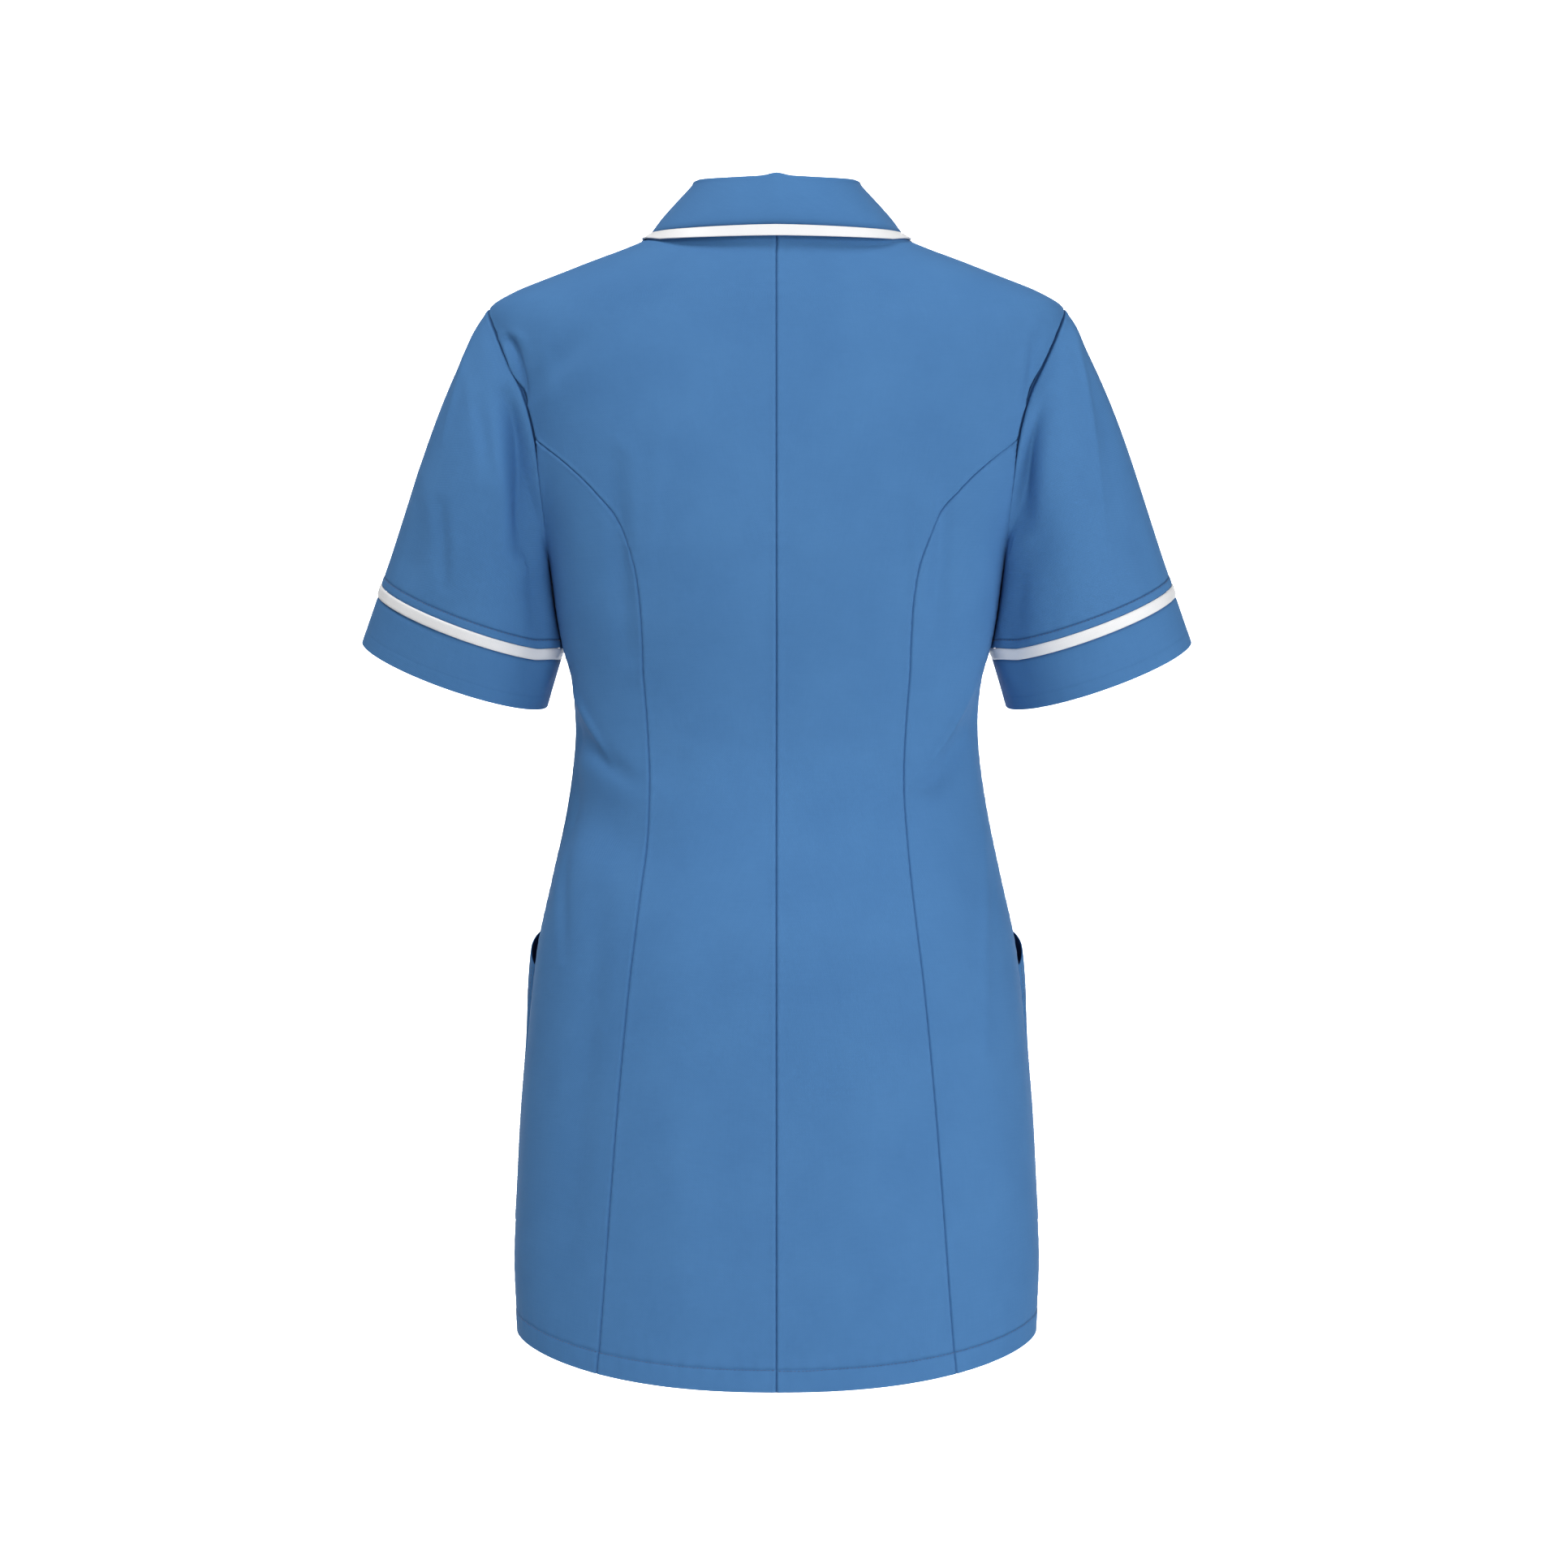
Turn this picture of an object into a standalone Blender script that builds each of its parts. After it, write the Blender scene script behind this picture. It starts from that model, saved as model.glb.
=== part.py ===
# Medical tunic on a general figure: fitted, hollow, short sleeves, turned collar, curved hem.
# Metres, +Z up. The wearer would face -Y, so the wearer's left is +X and the back is +Y.
# The origin is at the base of the neck, where the wearer's shoulders hold the tunic up.

import math

import bmesh
import bpy
from mathutils import Vector

MM = 0.001

# Cloth sizes in millimetres
WALL = 1.5
TRIM_WALL = 1.9
SEAM_GAP = 0.3

# The torso as rings, in millimetres: the outside of the cloth at each height.
# Half width is to the side, depths are from the side seam's plane to the back and to the front.
FIGURE_COLUMNS = ("height", "half_width", "back_depth", "front_depth")
FIGURE = (
    (10, 62, 58, 26),
    (0, 89, 63, 38),
    (-10, 117, 67, 49),
    (-21, 145.5, 71, 60),
    (-32, 173, 75, 69),
    (-42, 188, 78, 76),
    (-60, 190.5, 82, 86),
    (-80, 188, 86, 95),
    (-100, 181, 89, 102),
    (-125, 174, 92, 109),
    (-160, 164.5, 94, 117),
    (-188, 155, 94.5, 121),
    (-207, 149.5, 94, 123),
    (-245, 144, 91, 124),
    (-265, 140, 88, 120),
    (-285, 134.5, 85, 114),
    (-310, 132.2, 82, 107),
    (-335, 132.8, 81, 102),
    (-373, 138.3, 86, 99),
    (-415, 147, 97, 100),
    (-451, 155, 106, 102),
    (-480, 159.2, 110.5, 104),
    (-522, 163.4, 113.5, 106),
    (-565, 167.2, 114, 107),
    (-618, 170, 113, 108),
    (-665, 172, 112, 108),
    (-711, 170, 111, 107),
)
RING_POWER = 2.3
NECK_HEIGHT = 10
HEM_HEIGHT = -711
HEM_DROP = 30
HEM_DROP_REACH = 160
HEM_CORNER_POWER = 1.7
SHOULDER_SOFTNESS = 16
SHOULDER_SOFT_TURN = 0.7

# Fullness that the front gets from its darts, on each side of the centre
BUST_RISE = 9
BUST_ANGLE = -52
BUST_HEIGHT = -228
BUST_SPREAD_ANGLE = 17
BUST_SPREAD_HEIGHT = 48

# Armhole: an oval on the torso's side, its depths measured forwards and backwards
ARMHOLE_TOP = -42
ARMHOLE_BOTTOM = -207
ARMHOLE_BACK = 46
ARMHOLE_FRONT = 50
ARMHOLE_STEPS = 10

# Back princess seam, from the armhole to the hem: distance from the centre back seam
PRINCESS_COLUMNS = ("height", "from_centre")
PRINCESS = (
    (-131, 156),
    (-151, 132),
    (-164, 119),
    (-182, 105),
    (-218, 90.5),
    (-284, 85.5),
    (-348, 82),
    (-406, 85.5),
    (-490, 95),
    (-615, 106.5),
    (-711, 115),
)
PRINCESS_TOP = -131
SIDE_TIP = -135

# Front neckline from the neck point to the free edge, and how far each front passes the centre
NECKLINE_COLUMNS = ("height", "from_centre")
NECKLINE = (
    (10, 62),
    (0, 60),
    (-25, 54),
    (-55, 40),
    (-90, 19),
    (-118, 0),
    (-142, -16),
)
FRONT_OVERLAP = 16
NECKLINE_END = -142
OVERLAP_LIFT = 1.9
OVERLAP_FLAT = 2
OVERLAP_BLEND = 24
OVERLAP_LIFT_FULL = -114
OVERLAP_LIFT_GONE = -86
FRONT_TOP_ROW = 7.5

# Soft folds of the worn cloth: a line from one point to another on the back, in millimetres
# to the wearer's left and up, its half breadth, and how far it stands out (in, if negative)
# Columns: from_x, from_z, to_x, to_z, breadth, rise
BACK_FOLDS = (
    (137, -284, 92, -330, 11, -2.6),
    (141, -300, 100, -352, 9, 1.6),
    (-137, -280, -92, -352, 11, -2.6),
    (-141, -300, -104, -372, 9, 1.6),
    (139, -388, 150, -468, 7, 1.6),
    (-136, -386, -147, -530, 7, 1.6),
    (158, -66, 150, -104, 6, -2.0),
    (-160, -76, -151, -104, 6, -1.5),
    (60, -330, 74, -356, 14, -1.2),
    (-60, -330, -74, -356, 14, -1.2),
)
FOLD_END_FADE = 0.15

# Sleeve loops, in millimetres: the cuff's hem and the loop at the top of the trim.
# Outer and inner points are seen from behind, half depth runs forwards and backwards.
# Columns: outer_x, outer_z, inner_x, inner_z, centre_y, half_depth, tilt in degrees
HEM_LOOP = (274.5, -259.5, 151.5, -302, -31, 59, 12)
TRIM_LOOP = (260.8, -221.5, 142.5, -263.5, -23, 61, 10.5)
TRIM_DEPTH = 7.3
LOOP_GAP = 40.4

# The way the sleeve's cloth leaves the armhole, as x, y, z at its top, back, bottom and front
LEAVE_TOP = (0.52, 0.0, -0.85)
LEAVE_BACK = (0.50, 0.22, -0.84)
LEAVE_BOTTOM = (0.34, -0.25, -0.90)
LEAVE_FRONT = (0.50, -0.34, -0.80)
SLEEVE_ROWS = 10
SLEEVE_STANDOFF_TOP = 0.2
SLEEVE_STANDOFF_BOTTOM = 2.2
SLEEVE_START = 1.5

# Folds on the sleeves: centre around the sleeve in degrees, from the top over the back,
# centre down the sleeve from 0 to 1, spreads of both, and rise
# Columns: around, down, spread_around, spread_down, rise
SLEEVE_FOLDS = (
    (112, 0.45, 20, 0.34, -4.0),
    (70, 0.16, 16, 0.14, -2.0),
    (40, 0.86, 12, 0.16, -2.0),
    (25, 0.40, 13, 0.40, 1.4),
    (250, 0.42, 20, 0.32, -3.5),
)
SLEEVE_FOLD_START = 0.12
SLEEVE_FOLD_END = 0.85

# Collar sections from the centre back to the front end, in millimetres.
# Seam is where it is sewn to the neckline: an angle on the neck's ring, then a height in front.
# Columns: seam, fold_x, fold_y, fold_z, edge_x, edge_y, edge_z
COLLAR_BACK = (
    (90, 0, 56, 40.1, 0, 69, -0.8),
    (62, 27, 51, 39.5, 40, 66, -1.8),
    (35, 46, 33, 39.8, 68, 54.5, -1.6),
    (15, 52.5, 13, 40.8, 85, 29, 1.6),
)
COLLAR_FRONT = (
    (10, 53, -5, 39, 88, -3, 3.2),
    (0, 51, -32, 26, 95, -38, -8),
    (-25, 46, -61, -5, 95, -66, -38),
    (-55, 36, -86, -42, 84, -90, -76),
    (-88, 18, -105, -80, 52, -112, -112),
    (-112, 4, -115, -109, 16, -119, -126),
)
COLLAR_SECTIONS = 23
COLLAR_TRIM = 7.8
COLLAR_FOLD_HALF = 1.6
COLLAR_FOLD_DROP = 2.4
COLLAR_SEAM_RISE = 1.2
COLLAR_CLEAR = 2.9
COLLAR_CLEAR_BELOW = 8
COLLAR_LAP_RISE = 2.6
COLLAR_LAP_FULL = -104
COLLAR_LAP_GONE = -72
COLLAR_LEAF_ROWS = 4

# Hip pockets: patches on the fronts, open along a slanting mouth beside the side seam
POCKET_SIDE_ANGLE = -1.6
POCKET_INNER = 62
POCKET_BOTTOM = -640
POCKET_MOUTH_SIDE = -494
POCKET_MOUTH_INNER = -440
POCKET_GAPE = 12
POCKET_GAPE_LEAN = 0.75
POCKET_GAPE_START = 0.15
POCKET_SPACING = 1.4
POCKET_MOUTH_TURN = 4.5
POCKET_EDGE = 0.7

# Buttons down the centre front
BUTTON_HEIGHTS = (-158, -258, -358, -458, -558)
BUTTON_RADIUS = 8.5
BUTTON_THICKNESS = 2.6
BUTTON_SIDES = 20
BUTTON_LEAN_REACH = 6
# Half of its cross-section as shares of its radius and thickness, from the face's centre
BUTTON_PROFILE = (
    (0.0, 0.73),
    (0.68, 0.73),
    (0.80, 1.0),
    (0.93, 0.94),
    (1.0, 0.62),
    (0.93, 0.2),
    (0.72, 0.0),
    (0.0, 0.0),
)

BODY_ROWS = 19
SHOULDER_ROWS = 6
BACK_CELLS = 9
SIDE_CELLS = 6
FRONT_CELLS = 13
POCKET_CELLS = 9
POCKET_ROWS = 7

# Steps for measuring a surface's normal, in radians and millimetres, then on the sleeve
NORMAL_TURN = 0.004
NORMAL_RISE = 0.8
NORMAL_INSIDE = 1
SLEEVE_NORMAL_TURN = 0.05
SLEEVE_NORMAL_DOWN = 0.02
SLEEVE_NORMAL_START = 0.03

CLOTH_BLUE = (0.076, 0.222, 0.479, 1.0)
TRIM_WHITE = (0.86, 0.87, 0.88, 1.0)
BUTTON_WHITE = (0.80, 0.81, 0.82, 1.0)


# Tables and small maths

def column(rows, columns, name):
    place = columns.index(name)
    return [row[place] for row in rows]


def smooth_value(keys, values, key):
    # A cubic through the table's rows, held level past its ends
    if keys[0] > keys[-1]:
        keys = keys[::-1]
        values = values[::-1]
    if key <= keys[0]:
        return values[0]
    if key >= keys[-1]:
        return values[-1]
    low = max(i for i in range(len(keys) - 1) if keys[i] <= key)
    high = low + 1
    span = keys[high] - keys[low]

    def slope(i):
        before = max(i - 1, 0)
        after = min(i + 1, len(keys) - 1)
        return (values[after] - values[before]) / (keys[after] - keys[before])

    t = (key - keys[low]) / span
    return hermite(values[low], slope(low) * span, values[high], slope(high) * span, t)


def hermite(start, leave, end, arrive, t):
    return (
        start * (2 * t**3 - 3 * t**2 + 1)
        + leave * (t**3 - 2 * t**2 + t)
        + end * (3 * t**2 - 2 * t**3)
        + arrive * (t**3 - t**2)
    )


def smooth_step(low, high, value):
    t = min(max((value - low) / (high - low), 0.0), 1.0)
    return t * t * (3 - 2 * t)


def table_lookup(rows, columns, name, key):
    keys = column(rows, columns, columns[0])
    return smooth_value(keys, column(rows, columns, name), key)


# The torso's surface, in millimetres

def ring_sizes(height):
    return (
        table_lookup(FIGURE, FIGURE_COLUMNS, "half_width", height),
        table_lookup(FIGURE, FIGURE_COLUMNS, "back_depth", height),
        table_lookup(FIGURE, FIGURE_COLUMNS, "front_depth", height),
    )


def ring_radius(angle, height):
    half_width, back, front = ring_sizes(height)
    depth = back if math.sin(angle) > 0 else front
    # Away from the shoulder point its turn is spread over some height
    above = table_lookup(FIGURE, FIGURE_COLUMNS, "half_width", height + SHOULDER_SOFTNESS)
    below = table_lookup(FIGURE, FIGURE_COLUMNS, "half_width", height - SHOULDER_SOFTNESS)
    softened = smooth_step(0.0, SHOULDER_SOFT_TURN, abs(math.sin(angle))) / 2
    half_width += softened * (above + below - 2 * half_width)
    across = abs(math.cos(angle) / half_width) ** RING_POWER
    along = abs(math.sin(angle) / depth) ** RING_POWER
    return (across + along) ** (-1 / RING_POWER)


def angle_at_width(x, height, behind):
    # The angle at which the ring is this far from the centre
    half_width, back, front = ring_sizes(height)
    depth = back if behind else -front
    share = min(abs(x) / half_width, 1.0)
    y = depth * (1 - share**RING_POWER) ** (1 / RING_POWER)
    return math.atan2(y, x)


def angle_at_depth(y, height):
    half_width, back, front = ring_sizes(height)
    depth = back if y > 0 else front
    share = min(abs(y) / depth, 1.0)
    x = half_width * (1 - share**RING_POWER) ** (1 / RING_POWER)
    return math.atan2(y, x)


def bust_fullness(angle, height):
    turned = (math.degrees(angle) - BUST_ANGLE) / BUST_SPREAD_ANGLE
    mirrored = (-180 - math.degrees(angle) - BUST_ANGLE) / BUST_SPREAD_ANGLE
    raised = (height - BUST_HEIGHT) / BUST_SPREAD_HEIGHT
    around = math.exp(-turned**2) + math.exp(-mirrored**2)
    return BUST_RISE * around * math.exp(-raised**2)


def fold_rise(x, height):
    total = 0.0
    for fold in BACK_FOLDS:
        from_x, from_z, to_x, to_z, breadth, rise = fold
        along_x = to_x - from_x
        along_z = to_z - from_z
        length_squared = along_x**2 + along_z**2
        t = ((x - from_x) * along_x + (height - from_z) * along_z) / length_squared
        held = min(max(t, 0.0), 1.0)
        off = math.hypot(x - from_x - held * along_x, height - from_z - held * along_z)
        fade = math.sin(math.pi * (FOLD_END_FADE + (1 - 2 * FOLD_END_FADE) * held))
        total += rise * fade * math.exp(-((off / breadth) ** 2))
    return total


def hem_shift(angle, height):
    # The hem is lowest at the centre back and front, and its curve fades out above
    half_width, back, front = ring_sizes(HEM_HEIGHT)
    depth = back if math.sin(angle) > 0 else front
    reach = abs(ring_radius(angle, HEM_HEIGHT) * math.sin(angle)) / depth
    fade = 1 - smooth_step(0, HEM_DROP_REACH, height - HEM_HEIGHT)
    return -HEM_DROP * reach**HEM_CORNER_POWER * fade


def torso_point(angle, height, side=1):
    # Angle 0 is the side seam, 90 the centre back, -90 the centre front
    radius = ring_radius(angle, height) + bust_fullness(angle, height)
    x = radius * math.cos(angle)
    y = radius * math.sin(angle)
    if y > 0:
        radius += fold_rise(side * x, height)
    return Vector((
        radius * math.cos(angle),
        radius * math.sin(angle),
        height + hem_shift(angle, height),
    ))


def surface_normal(point_at, u, v, u_step, v_step):
    along_u = point_at(u + u_step, v) - point_at(u - u_step, v)
    along_v = point_at(u, v + v_step) - point_at(u, v - v_step)
    return along_u.cross(along_v).normalized()


def cloth_point(angle, height, out, side=1):
    # A point of the torso's cloth, moved out along the normal, mirrored for the wearer's right
    def point_at(a, h):
        return torso_point(a, h, side)

    inside = min(max(height, HEM_HEIGHT + NORMAL_INSIDE), NECK_HEIGHT - NORMAL_INSIDE)
    normal = surface_normal(point_at, angle, inside, NORMAL_TURN, NORMAL_RISE)
    point = torso_point(angle, height, side) + normal * out
    return Vector((side * point.x, point.y, point.z)) * MM


# Seams on the torso, each an angle for a height

def armhole_depth(height, reach):
    t = (ARMHOLE_TOP - height) / (ARMHOLE_TOP - ARMHOLE_BOTTOM)
    t = min(max(t, 0.0), 1.0)
    return reach * 2 * math.sqrt(t * (1 - t))


def armhole_angle(height, reach):
    return angle_at_depth(armhole_depth(height, reach), height)


def princess_angle(height):
    x = table_lookup(PRINCESS, PRINCESS_COLUMNS, "from_centre", height)
    return angle_at_width(x, height, True)


def neckline_angle(height):
    x = table_lookup(NECKLINE, NECKLINE_COLUMNS, "from_centre", height)
    return angle_at_width(x, height, False)


def free_edge_angle(height):
    return angle_at_width(-FRONT_OVERLAP, height, False)


def seam_inset(angle, height):
    return SEAM_GAP / 2 / ring_radius(angle, height)


def armhole_heights(extra):
    middle = (ARMHOLE_TOP + ARMHOLE_BOTTOM) / 2
    half = (ARMHOLE_TOP - ARMHOLE_BOTTOM) / 2
    steps = range(ARMHOLE_STEPS + 1)
    heights = [middle - half * math.cos(math.pi * i / ARMHOLE_STEPS) for i in steps]
    heights[0] = ARMHOLE_BOTTOM
    heights[-1] = ARMHOLE_TOP
    return sorted(heights + extra)


def spaced(low, high, count):
    return [low + (high - low) * i / count for i in range(count + 1)]


def panel_heights():
    lower = spaced(HEM_HEIGHT, ARMHOLE_BOTTOM, BODY_ROWS)
    upper = spaced(ARMHOLE_TOP, NECK_HEIGHT, SHOULDER_ROWS)
    return lower + armhole_heights([PRINCESS_TOP, SIDE_TIP])[1:] + upper[1:]


# Meshes

def link_object(name, mesh, material):
    mesh.materials.append(material)
    mesh.shade_smooth()
    piece = bpy.data.objects.new(name, mesh)
    garment.objects.link(piece)
    piece.parent = frame
    return piece


def grid_mesh(name, rows, closed=False, flip=False):
    # An open sheet from rows of points, or a tube when each row is a closed loop
    sheet = bmesh.new()
    made = [[sheet.verts.new(point) for point in row] for row in rows]
    width = len(made[0])
    last = width if closed else width - 1
    for low, high in zip(made, made[1:]):
        for i in range(last):
            after = (i + 1) % width
            corners = [low[i], low[after], high[after], high[i]]
            if flip:
                corners.reverse()
            sheet.faces.new(corners)
    mesh = bpy.data.meshes.new(name)
    sheet.to_mesh(mesh)
    sheet.free()
    return mesh


def add_wall(piece, thickness):
    # The sheet is the cloth's inside, and the wall is built outwards from it
    wall = piece.modifiers.new("wall", "SOLIDIFY")
    wall.thickness = thickness * MM
    wall.offset = 1.0
    wall.use_rim = True
    return wall


def make_material(name, colour, roughness, metallic=0.0):
    material = bpy.data.materials.new(name)
    material.use_nodes = True
    material.diffuse_color = colour
    shader = material.node_tree.nodes["Principled BSDF"]
    shader.inputs["Base Color"].default_value = colour
    shader.inputs["Roughness"].default_value = roughness
    shader.inputs["Metallic"].default_value = metallic
    return material


def side_name(side):
    return "left" if side > 0 else "right"


# Panels of the torso

def build_panel(name, side, heights, start_angle, end_angle, cells, lift=None):
    # Rows run from the start seam to the end seam, each held half a seam gap back
    rows = []
    for height in heights:
        start = start_angle(height)
        end = end_angle(height)
        turn = math.copysign(1.0, end - start)
        start += turn * seam_inset(start, height)
        end -= turn * seam_inset(end, height)
        row = []
        for i in range(cells + 1):
            angle = start + (end - start) * i / cells
            out = -WALL + (lift(angle, height) if lift else 0.0)
            row.append(cloth_point(angle, height, out, side))
        rows.append(row)
    turns_forward = end_angle(heights[0]) < start_angle(heights[0])
    mesh = grid_mesh(name, rows, flip=(side < 0) != turns_forward)
    panel = link_object(name, mesh, cloth)
    add_wall(panel, WALL)
    return panel


def build_back(side):
    def outer_angle(height):
        if height <= PRINCESS_TOP:
            return princess_angle(height)
        if height < ARMHOLE_TOP:
            return armhole_angle(height, ARMHOLE_BACK)
        return 0.0

    def centre_angle(height):
        return math.pi / 2

    name = "back_" + side_name(side)
    build_panel(name, side, panel_heights(), outer_angle, centre_angle, BACK_CELLS)


def build_side_back(side):
    def side_angle(height):
        if height <= ARMHOLE_BOTTOM:
            return 0.0
        return armhole_angle(height, ARMHOLE_BACK)

    heights = [height for height in panel_heights() if height <= SIDE_TIP]
    name = "side_back_" + side_name(side)
    build_panel(name, side, heights, side_angle, princess_angle, SIDE_CELLS)


def build_front(side):
    def side_angle(height):
        if ARMHOLE_BOTTOM < height < ARMHOLE_TOP:
            return armhole_angle(height, -ARMHOLE_FRONT)
        return 0.0

    def edge_angle(height):
        if height < NECKLINE_END:
            return free_edge_angle(height)
        return neckline_angle(height)

    def overlap_lift(angle, height):
        # The wearer's right front lies over the left one at the centre
        if side > 0:
            return 0.0
        x = ring_radius(angle, height) * math.cos(angle)
        flat_end = FRONT_OVERLAP + OVERLAP_FLAT
        near_edge = 1 - smooth_step(flat_end, FRONT_OVERLAP + OVERLAP_BLEND, x)
        below_collar = 1 - smooth_step(OVERLAP_LIFT_FULL, OVERLAP_LIFT_GONE, height)
        return OVERLAP_LIFT * near_edge * below_collar

    heights = [height for height in panel_heights() if height < NECK_HEIGHT]
    heights = sorted(heights + [NECKLINE_END, FRONT_TOP_ROW])
    name = "front_" + side_name(side)
    build_panel(name, side, heights, side_angle, edge_angle, FRONT_CELLS, overlap_lift)


# Sleeves

def four_way(top, back, bottom, front, around):
    # A smooth blend of four directions around the armhole
    top, back, bottom, front = (Vector(row) for row in (top, back, bottom, front))
    upright = (top + bottom) / 2
    level = (back + front) / 2
    value = (upright + level) / 2 + (upright - level) / 2 * math.cos(2 * around)
    value += (top - bottom) / 2 * math.cos(around)
    value += (back - front) / 2 * math.sin(around)
    return value.normalized()


def armhole_around():
    # Angles around the sleeve, from the top over the back, at the panels' own heights
    middle = (ARMHOLE_TOP + ARMHOLE_BOTTOM) / 2
    half = (ARMHOLE_TOP - ARMHOLE_BOTTOM) / 2
    falling = armhole_heights([PRINCESS_TOP])[::-1]
    behind = [math.acos(min(max((height - middle) / half, -1.0), 1.0)) for height in falling]
    before = [2 * math.pi - around for around in behind[1:-1]]
    return behind + before[::-1]


def armhole_start(around):
    middle = (ARMHOLE_TOP + ARMHOLE_BOTTOM) / 2
    half = (ARMHOLE_TOP - ARMHOLE_BOTTOM) / 2
    height = middle + half * math.cos(around)
    reach = ARMHOLE_BACK if math.sin(around) >= 0 else ARMHOLE_FRONT
    angle = angle_at_depth(reach * math.sin(around), height)
    normal = surface_normal(torso_point, angle, height, NORMAL_TURN, NORMAL_RISE)
    low = (1 - math.cos(around)) / 2
    standoff = SLEEVE_STANDOFF_TOP + (SLEEVE_STANDOFF_BOTTOM - SLEEVE_STANDOFF_TOP) * low**2
    return torso_point(angle, height) + normal * standoff


def loop_point(loop, around):
    outer_x, outer_z, inner_x, inner_z, centre_y, half_depth, tilt = loop
    centre = Vector(((outer_x + inner_x) / 2, centre_y, (outer_z + inner_z) / 2))
    across = Vector(((outer_x - inner_x) / 2, 0, (outer_z - inner_z) / 2))
    lean = math.radians(tilt)
    deep = Vector((0, half_depth * math.cos(lean), -half_depth * math.sin(lean)))
    return centre + across * math.cos(around) + deep * math.sin(around)


def sleeve_fold_rise(around, down):
    degrees = math.degrees(around) % 360
    total = 0.0
    for fold in SLEEVE_FOLDS:
        centre, low, spread_around, spread_down, rise = fold
        turned = (degrees - centre + 180) % 360 - 180
        total += rise * math.exp(-((turned / spread_around) ** 2) - ((down - low) / spread_down) ** 2)
    return total


def sleeve_path(around, down):
    # Down is 0 at the armhole and 1 at the top of the trim, then counts on to the cuff's hem
    hem = loop_point(HEM_LOOP, around)
    trim = loop_point(TRIM_LOOP, around)
    if down >= 1:
        return trim + (hem - trim) * (down - 1)
    start = armhole_start(around)
    chord = (trim - start).length
    leave = four_way(LEAVE_TOP, LEAVE_BACK, LEAVE_BOTTOM, LEAVE_FRONT, around) * chord
    arrive = (hem - trim).normalized() * chord
    return hermite(start + leave.normalized() * SLEEVE_START, leave, trim, arrive, down)


def sleeve_normal(around, down):
    down = max(down, SLEEVE_NORMAL_START)
    return -surface_normal(sleeve_path, around, down, SLEEVE_NORMAL_TURN, SLEEVE_NORMAL_DOWN)


def sleeve_point(around, down, out, side):
    fold = sleeve_fold_rise(around, down) * (1 - smooth_step(SLEEVE_FOLD_END, 1.0, down))
    fold *= smooth_step(0.0, SLEEVE_FOLD_START, down)
    point = sleeve_path(around, down) + sleeve_normal(around, down) * (out + fold)
    return Vector((side * point.x, point.y, point.z)) * MM


def build_sleeve_band(name, side, downs, out, thickness, material):
    rows = [[sleeve_point(around, down, out, side) for around in armhole_around()] for down in downs]
    mesh = grid_mesh(name, rows, closed=True, flip=side > 0)
    band = link_object(name, mesh, material)
    add_wall(band, thickness)
    return band


def build_sleeve(side):
    half_gap = SEAM_GAP / 2 / LOOP_GAP
    trim_top = 1.0
    trim_low = 1.0 + TRIM_DEPTH / LOOP_GAP
    name = side_name(side)
    downs = [step / SLEEVE_ROWS for step in range(SLEEVE_ROWS)] + [trim_top - half_gap]
    build_sleeve_band("sleeve_" + name, side, downs, -WALL, WALL, cloth)
    downs = [trim_top + half_gap, trim_low - half_gap]
    build_sleeve_band("cuff_trim_" + name, side, downs, -WALL, TRIM_WALL, trim)
    downs = spaced(trim_low + half_gap, 2.0, 2)
    build_sleeve_band("cuff_" + name, side, downs, -WALL, WALL, cloth)


# Collar

def collar_seam(row, in_front):
    if in_front:
        height = min(row[0], NECK_HEIGHT)
        angle = neckline_angle(height)
    else:
        height = NECK_HEIGHT
        angle = math.radians(row[0])
    seam = torso_point(angle, height)
    seam.z += COLLAR_SEAM_RISE
    # The lowest stretch passes over the front that laps the other
    seam.y -= COLLAR_LAP_RISE * (1 - smooth_step(COLLAR_LAP_FULL, COLLAR_LAP_GONE, height))
    return seam


def collar_sections():
    # Seam, fold and edge of each section, read smoothly from the table
    rows = [(collar_seam(row, False), row) for row in COLLAR_BACK]
    rows += [(collar_seam(row, True), row) for row in COLLAR_FRONT]
    places = list(range(len(rows)))
    sections = []
    for step in range(COLLAR_SECTIONS):
        place = step * (len(rows) - 1) / (COLLAR_SECTIONS - 1)

        def read(values):
            return smooth_value(places, values, place)

        seam = Vector([read([row[0][axis] for row in rows]) for axis in range(3)])
        fold = Vector([read([row[1][1 + axis] for row in rows]) for axis in range(3)])
        edge = Vector([read([row[1][4 + axis] for row in rows]) for axis in range(3)])
        sections.append((seam, fold, edge))
    return sections


def kept_clear(point):
    # A leaf point over the shoulders or the chest is kept outside the cloth below it
    if point.z > COLLAR_CLEAR_BELOW:
        return point
    angle = math.atan2(point.y, point.x)
    normal = surface_normal(torso_point, angle, point.z, NORMAL_TURN, NORMAL_RISE)
    height_above = (point - torso_point(angle, point.z)).dot(normal)
    return point + normal * max(COLLAR_CLEAR - height_above, 0.0)


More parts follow.
